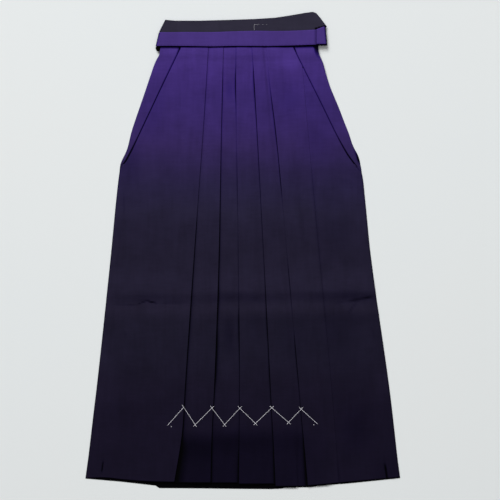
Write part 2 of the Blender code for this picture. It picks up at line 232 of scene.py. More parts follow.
BACK_CREASES = table(Crease,
    (-240, 600, 60, 590, 12.0, 0.4, 0.1),
    (60, 590, 250, 604, 10.0, 0.4, 0.1),
    (-150, 200, -180, 420, 12.0, 0.3, 0.0),
    (120, 240, 150, 470, 12.0, 0.3, 0.0),
)

# Broad soft patches where the cloth looks darker, or lighter below 0: uneven tone, except that the lighter
# one at the right of the waist is painted light over the folded right back tie
Patch = namedtuple("Patch", "across down half_across half_down shade")
FRONT_PATCHES = table(Patch,
    (-292, 700, 50, 180, -0.28), (-190, 120, 40, 90, 0.1), (-235, 232, 36, 80, 0.17),
    (-66, 190, 26, 130, -0.09), (-27, 90, 14, 34, 0.18), (14, 150, 22, 110, -0.1),
    (100, 32, 40, 30, -0.2), (100, 110, 44, 60, 0.08), (150, 205, 60, 60, 0.1),
    (-10, 340, 80, 90, -0.09), (-28, 600, 20, 60, 0.26), (-32, 668, 22, 34, -0.12),
    (24, 590, 26, 60, 0.1), (110, 600, 60, 70, 0.12), (196, 590, 70, 90, 0.12),
    (188, 390, 60, 90, 0.08), (298, 690, 40, 60, -0.16), (235, 795, 56, 80, 0.26),
    (298, 885, 46, 44, 0.14), (-180, 572, 120, 50, -0.12),
)
# Places of the back beside the slits that are painted lighter: painted light against the front band's shade
# near the waist, and lighter strips beside the left slit
BACK_PATCHES = table(Patch, (-150, 8, 30, 12, -0.22), (-243, 224, 16, 34, -0.22), (-226, 180, 14, 40, -0.1))
# Painted shade on each strip between the pleats below the basting, from left to right
STRIP_SHADES = (0.0, 0.5, 0.46, 0.4, 0.34, 0.16)
STRIP_LATER = (0.0, 14.0, 0.0, 0.0, 0.0, 0.0)
BASTING_DOWN = 790.0

BAND_OUTLINE_TOP = table(Point,
    (-160.3, -55.1), (-140.3, -53.2), (-88.3, -53.2), (-26.0, -54.9),
    (26.0, -56.7), (67.6, -59.4), (98.7, -64.0), (129.9, -69.4),
    (145.5, -71.5), (152.8, -69.2), (161.1, -59.0),
)
BAND_OUTLINE_LEFT = table(Point,
    (-160.3, -55.1), (-172.9, -30.2), (-169.0, -27.6), (-173.4, -1.0),
    (-179.4, 0.4), (-180.9, 4.0), (-178.4, 9.2), (-170.0, 11.2),
)
BAND_OUTLINE_RIGHT = table(Point,
    (161.1, -59.0), (175.4, -40.6), (170.8, -38.2), (157.0, -1.0),
    (158.0, 15.8),
)

StripEnd = namedtuple("StripEnd", "across_top down_top across_bottom down_bottom")
BAND_WRAP_END = StripEnd(-173.8, -30.1, -180.6, 0.0)
BAND_SEAM_END = StripEnd(153.2, -36.4, 153.2, -4.0)
TIE_SEAM_END = StripEnd(153.5, -37.0, 153.5, -3.6)
TIE_WRAP_END = StripEnd(172.8, -41.8, 176.2, -2.6)
# How far the front band and the right tie hang below a straight line, at their two edges
Sag = namedtuple("Sag", "across top bottom")
BAND_SAG = table(Sag,
    (-180, 1.0, 0.0), (-150, 1.6, 0.3), (-116, 1.9, 0.9), (-83, 2.7, 1.8),
    (-60, 3.1, 2.4), (-20, 2.4, 2.0), (17, 2.2, 2.4), (33, 2.3, 2.7), (50, 2.8, 3.1),
    (67, 3.4, 2.9), (92, 3.6, 2.7), (116, 3.2, 2.2), (150, 2.2, 1.4), (180, 0.6, 0.6),
)
BAND_RETURN = -147.5
TIE_RETURN = 154.0

TiePack = namedtuple("TiePack", "outer inner top bottom")
FRONT_PACK_LEFT = TiePack(-145.7, -8.0, -32.0, -2.0)
FRONT_PACK_RIGHT = TiePack(152.0, 10.0, -36.5, -5.0)
BACK_PACK_LEFT = TiePack(-164.0, -18.0, 2.5, 34.5)
BACK_PACK_RIGHT = TiePack(152.0, 12.0, 2.5, 34.5)
PACK_LAYERS = 4
PACK_LAYER = 1.0

# Turning points of the basting thread's zigzag over the pleats
BASTING = table(Point,
    (-156.3, 787.8), (-122.2, 749.3), (-98.3, 785.5), (-63.4, 751.0),
    (-37.2, 785.5), (-5.4, 751.4), (26.8, 782.8), (60.9, 750.5),
    (95.6, 780.7), (121.8, 753.2), (156.5, 784.4),
)
BASTING_TAIL = 6.0
BASTING_KNOTS = ((Point(-148.6, 789.8), Point(-147.0, 789.2)), (Point(147.4, 786.2), Point(149.0, 785.0)))

Spot = namedtuple("Spot", "across down height shade")


def place(across, down, height):
    return Vector(((across - MIDDLE_X) * MM, (WAIST_Y - down) * MM, height * MM))


def between(start, end, share):
    return start + (end - start) * share


def share_of(value, low, high):
    """How far a value is from low to high, from 0 to 1."""
    return min(max((value - low) / (high - low), 0.0), 1.0)


def blend(value, low, high, low_result, high_result):
    return between(low_result, high_result, share_of(value, low, high))


def ease(value, low, high):
    """Rises smoothly from 0 at low to 1 at high."""
    share = share_of(value, low, high)
    return share * share * (3.0 - 2.0 * share)


def fall(value, low, high):
    """Falls smoothly from 1 at low to 0 at high."""
    return 1.0 - ease(value, low, high)


def bump(value, centre, half_width):
    """A smooth hump of height 1 at its centre."""
    share = abs(value - centre) / half_width
    return 0.5 + 0.5 * math.cos(math.pi * share) if share < 1.0 else 0.0


def uneven_at(*spot):
    """Smooth noise from about -1 to 1."""
    return noise.noise(Vector(spot))


def smooth_line(rows, key, wanted):
    """A smooth curve through two columns of a table, which never overshoots its rows."""
    keys = [getattr(row, key) for row in rows]
    values = [getattr(row, wanted) for row in rows]
    slopes = [(values[n + 1] - values[n]) / (keys[n + 1] - keys[n]) for n in range(len(rows) - 1)]
    tangents = [slopes[0]]
    for before, after in zip(slopes, slopes[1:]):
        tangents.append(0.0 if before * after <= 0 else 2 * before * after / (before + after))
    tangents.append(slopes[-1])

    def read(at):
        at = min(max(at, keys[0]), keys[-1])
        index = 0
        while index < len(slopes) - 1 and at > keys[index + 1]:
            index += 1
        width = keys[index + 1] - keys[index]
        share = (at - keys[index]) / width
        start, end = values[index], values[index + 1]
        first, last = tangents[index] * width, tangents[index + 1] * width
        return (start + share * first + share ** 2 * (3 * (end - start) - 2 * first - last)
                + share ** 3 * (first + last - 2 * (end - start)))
    return read


def straight_line(rows, key, wanted):
    """Straight lines through two columns of a table."""
    def read(at):
        if at <= getattr(rows[0], key):
            return getattr(rows[0], wanted)
        for low, high in zip(rows, rows[1:]):
            if at <= getattr(high, key):
                return blend(at, getattr(low, key), getattr(high, key),
                             getattr(low, wanted), getattr(high, wanted))
        return getattr(rows[-1], wanted)
    return read


def smooth_lines(rows):
    """A smooth curve for each column of a table, against its first one."""
    key, *names = rows[0]._fields
    return {name: smooth_line(rows, key, name) for name in names}


EDGE = smooth_lines(EDGES)
FOLD = smooth_lines(FOLDS)
OPEN = smooth_lines(OPENINGS)
storage_shading = smooth_line(STORAGE_SHADES, "past", "shade")
storage_strength = smooth_line(STORAGE_STRENGTHS, "across", "share")
SAG = smooth_lines(BAND_SAG)
HEM_LEFT = smooth_line(LEFT_PANEL_HEM, "across", "down")
HEM_RIGHT = straight_line(RIGHT_PANEL_HEM, "across", "down")
HEM_BACK = straight_line(BACK_HEM, "across", "down")
lift = smooth_line(LIFT, "down", "rise")
storage_profile = smooth_line(STORAGE_FOLD, "past", "rise")


def band_edge(across):
    """How far down the lower edge of the front band lies."""
    return blend(across, BAND_WRAP_END.across_bottom, BAND_SEAM_END.across_bottom,
                 BAND_WRAP_END.down_bottom, BAND_SEAM_END.down_bottom) + SAG["bottom"](across)


def crease_rise(creases, across, down):
    """Height and painted shade that the listed creases give at one spot."""
    rise = 0.0
    shade = 0.0
    for crease in creases:
        low, high = sorted((crease.down, crease.end_down))
        if not low - crease.width < down < high + crease.width:
            continue
        low, high = sorted((crease.across, crease.end_across))
        if not low - crease.width < across < high + crease.width:
            continue
        run_across = crease.end_across - crease.across
        run_down = crease.end_down - crease.down
        share = ((across - crease.across) * run_across + (down - crease.down) * run_down)
        share = min(max(share / (run_across ** 2 + run_down ** 2), 0.0), 1.0)
        away = math.hypot(across - crease.across - share * run_across,
                          down - crease.down - share * run_down)
        if away >= crease.width:
            continue
        uneven = 0.8 + 0.5 * uneven_at(across / 17, down / 17, crease.width)
        fade = ease(share, 0.0, 0.25) * ease(1.0 - share, 0.0, 0.25) * 0.85 + 0.15
        rise += crease.rise * bump(away, 0.0, crease.width) * uneven * fade
        shade += crease.shade * bump(away, 0.0, crease.width * 0.6) * uneven * fade
    return rise, shade


def storage_fold(across, down):
    """Height and painted shade along the fold from storage, painted light where below 0."""
    waver = 5.0 * uneven_at(across / 80, 3.1, 0.0)
    past = down - STORAGE_DOWN - waver + across * 0.012
    if not STORAGE_SHADES[0].past < past < STORAGE_SHADES[-1].past:
        return 0.0, 0.0
    strength = 0.85 + 0.5 * uneven_at(across / 55, 7.7, 0.0)
    patchy = storage_strength(across) * (1.0 + 0.5 * uneven_at(across / 14, past / 30, 2.2))
    return storage_profile(past) * strength, storage_shading(past) * patchy


def soft_rise(across, down, seed):
    """The gentle unevenness of cloth that lies on a flat surface."""
    calm = ease(down, 30.0, 160.0)
    broad = uneven_at(across / 85, down / 150, seed)
    near = uneven_at(across / 30, down / 55, seed + 5.0)
    return (0.3 * broad + 0.1 * near) * calm


DEEPEST_CREASE = -0.75


def front_rise(across, down):
    """Height and painted shade that every layer of the front shares at one spot."""
    rise, shade = crease_rise(FRONT_CREASES, across, down)
    fold_rise, painted_shade_and_tone = storage_fold(across, down)
    rise += fold_rise + soft_rise(across, down, 1.0)
    return lift(down) + FRONT_LAYER + max(rise, DEEPEST_CREASE), shade + painted_shade_and_tone


def edge_rise(distance, down, seed):
    """How the front's side edge turns down to the back's, with a soft ridge inside it."""
    joined = ease(down, SLIT_END - 12.0, SLIT_END + 14.0)
    turn = -(0.45 + 0.4 * joined) * fall(distance, 0.0, 3.0 + 2.5 * joined)
    uneven = 0.75 + 0.7 * uneven_at(seed, down / 60, 0.0)
    return turn + 0.75 * joined * uneven * bump(distance, RIPPLE_INSET, RIPPLE_HALF)


# Painted shade along a slit's edge, along the side edge below the slit, and along the long seam
SLIT_EDGE_SHADE = 0.8
SIDE_EDGE_SHADE = 0.4
SEAM_SHADE = 0.16


def near_slit_end(down):
    return bump(down, SLIT_END - 14.0, 60.0)


def slit_shade(distance, down):
    """Painted shade along the front's side edge at a slit, where it stands over the back, and a fainter
    painted line along the side below it.
    """
    near_end = near_slit_end(down)
    slit = SLIT_EDGE_SHADE + 0.2 * near_end
    slit *= fall(distance, 0.5 + 0.5 * near_end, 1.7 + 0.7 * near_end)
    closed = ease(down, SLIT_END, SLIT_END + 4.0)
    return slit * (1.0 - closed) + SIDE_EDGE_SHADE * closed * fall(distance, 0.8, 2.6)


def seam_shade(distance, down):
    """The faint soft painted shade along the long seam, which is clearest halfway down and at the hem."""
    weaker = 0.6 * ease(down, 540.0, 620.0)
    weakest = 0.35 * ease(down, 690.0, 760.0)
    clear = ease(down, 235.0, 290.0) * (1.0 - weaker - weakest)
    return SEAM_SHADE * (clear + 1.1 * ease(down, 846.0, 876.0)) * fall(distance, 0.8, 4.5)


def half_turn(across, height, start, end, steps):
    """Points round a fold of the cloth, seen along the skirt, from one angle in degrees to another."""
    points = []
    for step in range(steps + 1):
        angle = math.radians(start + (end - start) * step / steps)
        points.append((across + PLY / 2 * math.cos(angle), height + PLY / 2 * math.sin(angle)))
    return points


# Columns of a pleat's top layer, away from its fold
TOP_PLY = (9.0, 5.0, 2.6, 1.2)
# The lower cloth past a fold, with the painted shade that it gets beside a common fold and beside a gaping
# one
Beside = namedtuple("Beside", "past shade gaping")
BESIDE_FOLD = table(Beside,
    (-1.5, 1.0, 1.0), (-0.3, 1.0, 1.0), (0.5, 1.0, 1.0), (1.1, 0.78, 0.95),
    (1.8, 0.28, 0.7), (2.9, 0.06, 0.4), (4.4, 0.0, 0.0),
)
# A gaping fold's width, and how far each common width more lifts a fold
GAPING = 4.0
FOLD_LIFT = 0.22
# Painted shade on the fold itself, from its top round to below
ROUND_FOLD = (0.0, 0.3, 0.85, 1.0, 1.0, 1.0)


def pleat_spots(pleat, down):
    """One knife pleat from left to right as (across, height, painted shade, hidden) over the lowest layer."""
    visible = FOLD[pleat.name](down)
    side = pleat.side
    hidden = visible + side * blend(down, 0.0, HEM_DOWN, PLEAT_DEPTH_WAIST, PLEAT_DEPTH_HEM)
    opening = OPEN[pleat.name](down)
    strength = min(opening, 1.0)
    widen = max(opening, 1.0)
    gape = ease(widen, 1.5, GAPING) if pleat.name == "first" else 0.0
    raised = FOLD_LIFT * (widen - 1.0)
    top = [(hidden + side * PLEAT_CLEARANCE, PLY * 2, 0.0, False)]
    top += [(visible + side * inset, PLY * 2 + raised * (1.0 - inset / TOP_PLY[0]), 0.0, False)
            for inset in TOP_PLY]
    turn = half_turn(visible + side * PLY / 2, PLY * 1.5, 90.0, 90.0 + side * 180.0, 5)
    turn = [(across, height + raised, strength * shade, False)
            for (across, height), shade in zip(turn, ROUND_FOLD)]
    middle = [((visible + hidden) / 2, PLY, 1.0, True)]
    buried = [(across, height, 1.0, True) for across, height in
              half_turn(hidden - side * PLY / 2, PLY * 0.5, 90.0, 90.0 - side * 180.0, 3)]
    beside = [(visible - side * past * (widen if past > 0 else 1.0), 0.0,
               strength * (shade + (gaping - shade) * gape), past < 0) for past, shade, gaping in BESIDE_FOLD]
    spots = top + turn + middle + buried + beside
    return spots if side < 0 else spots[::-1]


def ramp(start, end, steps):
    """Points between two (across, height) ends, both left out, that ease from one to the other."""
    points = []
    for step in range(1, steps):
        share = step / steps
        rise = 0.25 * share + 0.75 * share * share * (3.0 - 2.0 * share)
        points.append((between(start[0], end[0], share), between(start[1], end[1], rise), 0.0, False))
    return points


# Columns beside a side edge, away from it
NEAR_EDGE = (0.0, 0.5, 1.2, 2.2, 3.6, 5.6, 8.0, 10.6, 13.2, 15.8, 18.4, 21.0, 23.6, 25.8, 27.6, 29.2,
             30.8, 32.4, 34.0, 36.4, 40.0)
# The last columns before the long seam, away from it
NEAR_SEAM = (6.0, 3.6, 2.0, 0.9, 0.3, 0.0)


def from_edge(edge, far, count):
    """Points from a side edge towards far: close together near the edge, then evenly spaced."""
    width = abs(far - edge)
    side = 1.0 if far > edge else -1.0
    scale = min(1.0, width * 0.6 / NEAR_EDGE[-1])
    points = [edge + side * inset * scale for inset in NEAR_EDGE]
    start = points[-1]
    points += [start + (far - start) * step / count for step in range(1, count + 1)]
    return points


def front_columns(down):
    """The front's section as (across, height, painted shade, hidden) from its left to its right edge."""
    pleats = [pleat_spots(pleat, down) for pleat in PLEATS]
    slope = blend(down, 0.0, HEM_DOWN, SLOPE_WAIST, SLOPE_HEM)
    left = EDGE["front_left"](down)
    right = EDGE["front_right"](down)
    if down > SIDE_PANEL_TOP:
        right = min(right, FOLD["seam"](down) - SEAM_HALF_GAP)
    slope_left = pleats[0][0][0] - slope
    slope_right = pleats[-1][-1][0] + SLOPE_WAIST
    columns = [(across, edge_rise(across - left, down, 2.0), slit_shade(across - left, down), False)
               for across in from_edge(left, slope_left, 34)]
    columns += ramp((slope_left, 0.0), pleats[0][0], 7)
    for pleat, following in zip(pleats, pleats[1:]):
        columns += pleat + ramp(pleat[-1], following[0], 8)
    columns += pleats[-1] + ramp(pleats[-1][-1], (slope_right, 0.0), 7)
    seamed = ease(down, SIDE_PANEL_TOP - 8.0, SIDE_PANEL_TOP + 8.0)
    last = [slope_right + (right - NEAR_SEAM[0] - slope_right) * step / 9 for step in range(9)]
    for across in last + [right - away for away in NEAR_SEAM]:
        away = right - across
        columns.append((across, edge_rise(away, 100.0, 3.0) * (1.0 - seamed),
                        seamed * seam_shade(away, down) + (1.0 - seamed) * slit_shade(away, down), False))
    return columns


def front_hem(columns):
    """How far down each column ends: each strip at its own length, the cloth under it a little lower."""
    folds = [FOLD[pleat.name](HEM_DOWN) for pleat in PLEATS]
    downs = []
    for across, height, shade, hidden in columns:
        strip = sum(1 for fold in folds if across > fold)
        if strip == 0:
            down = HEM_LEFT(across)
        elif strip == len(PLEATS):
            down = HEM_RIGHT(max(across, RIGHT_PANEL_HEM[0].across))
        else:
            down = STRIP_HEM[strip - 1]
        downs.append(down + (HIDDEN_PLY_DROP if hidden else 0.0))
    return downs


# Rows under the front band, rows before the hem, and where rows are closer than the common step
NEAR_BAND = (0.0, 1.2, 2.2, 3.1, 4.2, 6.0, 9.0)
NEAR_HEM = (4.2, 2.4, 1.4, 0.6, 0.0)
Closer = namedtuple("Closer", "start end step")
CLOSER_ROWS = table(Closer, (-1, 44, 4.5), (226, 268, 4.0), (470, 590, 3.0), (858, 906, 4.5))
COMMON_STEP = 7.5
LAST_STEP = 5.5


def row_list():
    """Lengths down the skirt of its rows: closer at the waist, the slits' ends, the storage fold and
    the hem."""
    downs = list(NEAR_BAND)
    while downs[-1] < HEM_DOWN:
        steps = [row.step for row in CLOSER_ROWS if row.start < downs[-1] < row.end]
        downs.append(downs[-1] + (steps[0] if steps else COMMON_STEP))
    while downs[-1] > HEM_DOWN - LAST_STEP:
        downs.pop()
    return downs + [HEM_DOWN - away for away in NEAR_HEM]


ROWS = row_list()
HEM_ZONE = 850.0


def own_length(down, across, end, start=0.0):
    """Moves a row to follow the front band at its top and the piece's own hem at its bottom."""
    if down < BAND_REACH:
        return down + (band_edge(across) + UNDER_BAND - start) * (1.0 - down / BAND_REACH)
    if down > HEM_ZONE:
        return HEM_ZONE + (down - HEM_ZONE) / (HEM_DOWN - HEM_ZONE) * (end - HEM_ZONE)
    return down


def top_and_hem_shade(down, across, end):
    """Painted shadow under the front band, wider to the right, and painted shade at the hem's edge."""
    right = ease(across, 60.0, 100.0)
    band_shadow = fall(down - band_edge(across), 1.9 + 0.5 * right, 3.9 + 1.2 * right)
    turned = ease(across, -150.0, -135.0)
    painted_hem_shade = (0.75 + 0.25 * turned) * fall(end - down, 0.3 + 0.7 * turned, 1.3 + 1.3 * turned)
    return max(band_shadow, painted_hem_shade)


def add_object(name, data):
    obj = bpy.data.objects.new(name, data)
    bpy.context.scene.collection.objects.link(obj)
    return obj


def cloth_mesh(name, rows, loop=False):
    """A smooth mesh through equal rows of spots, with their painted shade and tone as an attribute."""
    count = len(rows[0])
    points = [place(spot.across, spot.down, spot.height) for row in rows for spot in row]
    faces = []
    for line in range(len(rows) - 1):
        for column in range(count if loop else count - 1):
            following = (column + 1) % count
            faces.append((line * count + column, (line + 1) * count + column,
                          (line + 1) * count + following, line * count + following))
    mesh = bpy.data.meshes.new(name)
    mesh.from_pydata(points, [], faces)
    shades = mesh.attributes.new("painted_shade_and_tone", "FLOAT", "POINT")
    shades.data.foreach_set("value", [spot.shade for row in rows for spot in row])
    mesh.shade_smooth()
    return add_object(name, mesh)


def give_wall(obj, wall, other_side=False):
    """Gives a sheet its thickness, and its under side the second material where it has one."""
    solidify = obj.modifiers.new("Wall", "SOLIDIFY")
    solidify.thickness = wall * MM
    solidify.offset = 0.0
    if other_side:
        solidify.material_offset = 1
        solidify.material_offset_rim = 1


def finish_piece(obj, node, slot, *materials):
    """Gives a piece its materials, its place in the part and the node that it stands for."""
    for material in materials:
        obj.data.materials.append(material)
    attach(obj, "root")
    if node:
        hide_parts(node)
    return obj


def patch_shade(patches, across, down):
    """Darkening that broad patches give at one spot."""
    return sum(patch.shade * bump(across, patch.across, patch.half_across)
               * bump(down, patch.down, patch.half_down) for patch in patches)


def with_soft(shade, soft):
    """Adds soft painted shade and uneven tone to a marked painted shade, less where that is deep."""
    return shade + soft * (1.0 - min(shade, 1.0))


def strip_shade(across, down):
    """Painted shade on the strips between the pleats below the basting, where they lie deeper."""
    strip = sum(1 for pleat in PLEATS if across > FOLD[pleat.name](down))
    waver = 9.0 * uneven_at(across / 24, 5.5, down / 50)
    past = down - BASTING_DOWN - STRIP_LATER[strip] + waver
    deepest = 1.0 + 0.36 * bump(past, 32.0, 44.0)
    shade = STRIP_SHADES[strip] * deepest * ease(past, -16.0, 30.0)
    seam = FOLD["seam"](down)
    return shade * (fall(across, seam - 50.0, seam) if strip == len(PLEATS) else 1.0)


def make_front_skirt(material):
    """The pleated front, up to the long seam in its right panel."""
    ends = front_hem(front_columns(HEM_DOWN))
    rows = []
    for down in ROWS:
        row = []
        for (across, height, shade, hidden), end in zip(front_columns(down), ends):
            length = own_length(down, across, end)
            rise, crease_shade = front_rise(across, length)
            # Painted shade of the pleats, the front band and the hem, then softer painted shade of creases,
            # the storage fold and the strips, with the patches' uneven tone
            shade = max(shade, 0.0 if hidden else top_and_hem_shade(length, across, end))
            soft = crease_shade + patch_shade(FRONT_PATCHES, across, length) + strip_shade(across, length)
            row.append(Spot(across, length, rise + height, with_soft(shade, soft)))
        rows.append(row)
    obj = cloth_mesh("front_skirt_cloth", rows)
    give_wall(obj, CLOTH)
    return finish_piece(obj, "front_skirt", "skirt_cloth", material)


# How much darker the right side width is than the front beside it
SIDE_WIDTH_SHADE = 0.04


def make_side_width(material):
    """The right side width of the front, from the long seam to the edge."""
    rows = []
    for down in ROWS:
        if down < SIDE_PANEL_TOP + 1.0:
            continue
        left = FOLD["seam"](down) + SEAM_HALF_GAP
        right = EDGE["front_right"](down)
        near = min(1.0, (right - left) / 14.0)
        spaced = from_edge(right, left + NEAR_SEAM[0] * near, 15)[::-1]
        across_list = [left + away * near for away in NEAR_SEAM[:0:-1]] + spaced
        row = []
        for across in across_list:
            end = HEM_RIGHT(across if down < HEM_ZONE else max(across, RIGHT_PANEL_HEM[1].across))
            length = own_length(down, across, end)
            rise, crease_shade = front_rise(across, length)
            width_share = ease(right - left, 0.0, 12.0)
            rise += edge_rise(right - across, down, 3.0) * (0.3 + 0.7 * width_share)
            shade = max(top_and_hem_shade(length, across, end), slit_shade(right - across, down))
            soft = crease_shade + patch_shade(FRONT_PATCHES, across, length)
            soft = soft + seam_shade(across - left, down) + SIDE_WIDTH_SHADE
            row.append(Spot(across, length, rise, with_soft(shade, soft)))
        rows.append(row)
    obj = cloth_mesh("right_side_width_cloth", rows)
    give_wall(obj, CLOTH)
    return finish_piece(obj, "front_side_panel_right", "skirt_cloth", material)


def back_edge_shade(across, down):
    """Painted shade on the back: shadow lines beside the slits' edges, full shade under the front, shade
    under the right tie and a dark sliver along its own right edge.
    """
    left = EDGE["front_left"](down) - across
    right = across - EDGE["front_right"](down)
    outside = max(left, right)
    slit = fall(down, SLIT_END, SLIT_END + 6.0)
    wide = (0.5 if right > left else 1.0) + 1.1 * near_slit_end(down)
    shade = 1.0 if outside < 0 else slit * fall(outside, wide, wide + 1.9)
    own = EDGE["back_right"](down) - across
    tie_shade = fall(down, 8.0, 32.0) * fall(own, 7.5 - 0.1 * down, 10.5 - 0.1 * down)
    growing = ease(down, 204.0, 232.0) * fall(down, 238.0, 246.0)
    sliver = growing * fall(own, 0.8 + 3.4 * growing, 2.2 + 4.0 * growing)
    return max(shade, sliver, tie_shade)


# Columns between the back's edge and the front's, as shares of the way, and columns in its middle
BESIDE_SLIT = (0.0, 0.04, 0.09, 0.15, 0.21, 0.3, 0.42, 0.54, 0.66, 0.76, 0.84, 0.9, 0.95, 1.0)
BACK_MIDDLE_COLUMNS = 56
LEAST_STRIP = 9.0


def back_columns(down):
    """Across places of the back's columns, close together beside the slits' edges."""
    left = EDGE["back_left"](down)
    right = EDGE["back_right"](down)
    inner_left = max(EDGE["front_left"](down), left + LEAST_STRIP)
    inner_right = min(EDGE["front_right"](down), right - LEAST_STRIP)
    even = [step / BACK_MIDDLE_COLUMNS for step in range(1, BACK_MIDDLE_COLUMNS)]
    columns = [between(left, inner_left, share) for share in BESIDE_SLIT]
    columns += [between(inner_left, inner_right, share) for share in sorted([*even, *BACK_HEM_STEPS])]
    columns += [between(right, inner_right, share) for share in BESIDE_SLIT[::-1]]
    return columns


# What is far below any hem, so that no hem shade is added, and where the back is painted darker above its own
# hem, in the shadow of the front's hem
NO_HEM = 2000.0
BACK_START = 7.0         # how much higher than the front's its first row lies
BACK_HEM_START = 840.0
BACK_HEM_FULL = 860.0
BACK_MOST_RISE = 0.35


def make_back_skirt(inner_side, outer_side):
    """The plain back, its inner side up."""
    rows = []
    for down in ROWS:
        row = []
        for across in back_columns(down):
            end = HEM_BACK(across)
            length = own_length(down, across, end, start=BACK_START)
            rise, crease_shade = crease_rise(BACK_CREASES, across, length)
            rise += max(0.0, soft_rise(across, length, 9.0)) * 0.5
            # Painted shadow of the front's hem on the back, lighter at its left, and painted shade at the
            # back's own hem edge
            painted_hem_shade = ease(down, BACK_HEM_START, BACK_HEM_FULL) * blend(across, -190.0, -165.0, 0.2, 1.0)
            shade = max(back_edge_shade(across, down), top_and_hem_shade(length, across, NO_HEM), painted_hem_shade,
                        0.6 * fall(end - length, 0.3, 1.4))
            crease_shade += patch_shade(BACK_PATCHES, across, length) * (1.0 - min(shade, 1.0))
            height = lift(length) + BACK_LAYER + min(max(rise, 0.0), BACK_MOST_RISE)
            row.append(Spot(across, length, height, shade + crease_shade))
        rows.append(row)
    obj = cloth_mesh("back_skirt_cloth", rows)
    give_wall(obj, CLOTH, other_side=True)
    return finish_piece(obj, "back_skirt", "skirt_cloth", inner_side, outer_side)


# Painted shade at a band's seamed end and along its stitched line, and the steps round its end and back under
# it
SEAM_END_SHADE = 0.12
STITCHED_SHADE = 0.14
ROUND_STEPS = 16
RETURN_STEPS = 4
# The band's cross-section from its upper fold round: share of its width, share of its half height
BAND_RING = (
    (0.0, 0.3), (0.008, 0.72), (0.03, 0.96), (0.06, 1.0), (0.14, 0.97), (0.3, 1.0), (0.5, 1.03),
    (0.7, 1.0), (0.84, 0.97), (0.91, 0.98), (0.935, 0.86), (0.955, 0.97), (0.975, 0.94),
    (0.992, 0.7), (1.0, 0.3), (0.992, 0.0), (1.0, -0.3), (0.985, -0.85), (0.95, -1.0),
    (0.75, -1.0), (0.5, -1.0), (0.25, -1.0), (0.05, -1.0), (0.012, -0.8), (0.0, -0.3),
)


def strip_path(seam, wrap, return_x, share):
    """Stations of a band at one share of its width as (across, down, angle): 90 degrees on top, turning
    to -90 underneath."""
    side = -1.0 if wrap.across_top < 0 else 1.0
    seam_x = between(seam.across_top, seam.across_bottom, share)
    wrap_x = between(wrap.across_top, wrap.across_bottom, share) - side * (WRAP_RADIUS + BAND_ROUND)
    seam_down = between(seam.down_top, seam.down_bottom, share)
    wrap_down = between(wrap.down_top, wrap.down_bottom, share)
    steps = max(6, round(abs(wrap_x - seam_x) / 6.0))
    stations = [(between(seam_x, wrap_x, step / steps), between(seam_down, wrap_down, step / steps), 90.0)
                for step in range(steps)]
    stations += [(wrap_x, wrap_down, 90.0 - 180.0 * step / ROUND_STEPS) for step in range(ROUND_STEPS + 1)]
    stations += [(wrap_x + (return_x - wrap_x) * step / RETURN_STEPS, wrap_down, -90.0)
                 for step in range(1, RETURN_STEPS + 1)]
    return [(across, down + blend(share, 0.0, 1.0, SAG["top"](across), SAG["bottom"](across)), angle)
            for across, down, angle in stations]


def strip_rings(seam, wrap, return_x, low_dark, end_dark):
    """Rings of spots round a band, one for each station along it. Painted shade darkens it from low_dark of
    its width down, at its lower edge, by end_dark round its end, where it rolls over, and along its stitched
    line."""
    side = -1.0 if wrap.across_top < 0 else 1.0
    rings = []
    paths = {share: strip_path(seam, wrap, return_x, share) for share, level in BAND_RING}
    for station in range(len(paths[0.0])):
        ring = []
        for share, level in BAND_RING:
            across, down, angle = paths[share][station]
            turned = math.radians(angle)
            flatness = 1.0 + 0.06 * uneven_at(across / 24, down / 18, level)
            if level < 0 and abs(angle) < 89.0:
                flatness = 0.9
            radius = WRAP_RADIUS + BAND_HALF * level * flatness
            rolled = blend(angle, 25.0, 86.0, end_dark, 0.0) * ease(angle, -60.0, -25.0)
            low_edge = ease(share, low_dark, low_dark + 0.035)
            stitched = STITCHED_SHADE if 0.92 < share < 0.94 else 0.0
            ring.append(Spot(across + side * radius * math.cos(turned), down,
                             WRAP_CENTRE + radius * math.sin(turned), max(rolled, low_edge, stitched)))
        rings.append(ring)
    return rings


def hollow_out(obj):
    """Gives a tube its cloth's wall, inwards from its outside, with its ends open."""
    shape = bmesh.new()
    shape.from_mesh(obj.data)
    bmesh.ops.recalc_face_normals(shape, faces=shape.faces[:])
    shape.to_mesh(obj.data)
    shape.free()
    give_wall(obj, TUBE_CLOTH)
    obj.modifiers["Wall"].offset = -1.0


def make_tube(name, *strip):
    """A flat tube of cloth from its seam to its wrapped end."""
    rings = strip_rings(*strip)
    rings[0] = [spot._replace(shade=max(spot.shade, SEAM_END_SHADE)) for spot in rings[0]]
    obj = cloth_mesh(name, rings, loop=True)
    hollow_out(obj)
    return obj


def make_front_band(material):
    obj = make_tube("front_waistband", BAND_SEAM_END, BAND_WRAP_END, BAND_RETURN, 0.965, 0.95)
    return finish_piece(obj, "front_band", "band_cloth", material)


PACK_LINES = 7
PACK_COLUMNS = 9
PACK_TURN_STEPS = 4
PACK_INSET = 1.8
PACK_MARGIN = 0.8
# Painted shade in the turns of a folded tie
TURN_SHADE = 0.3


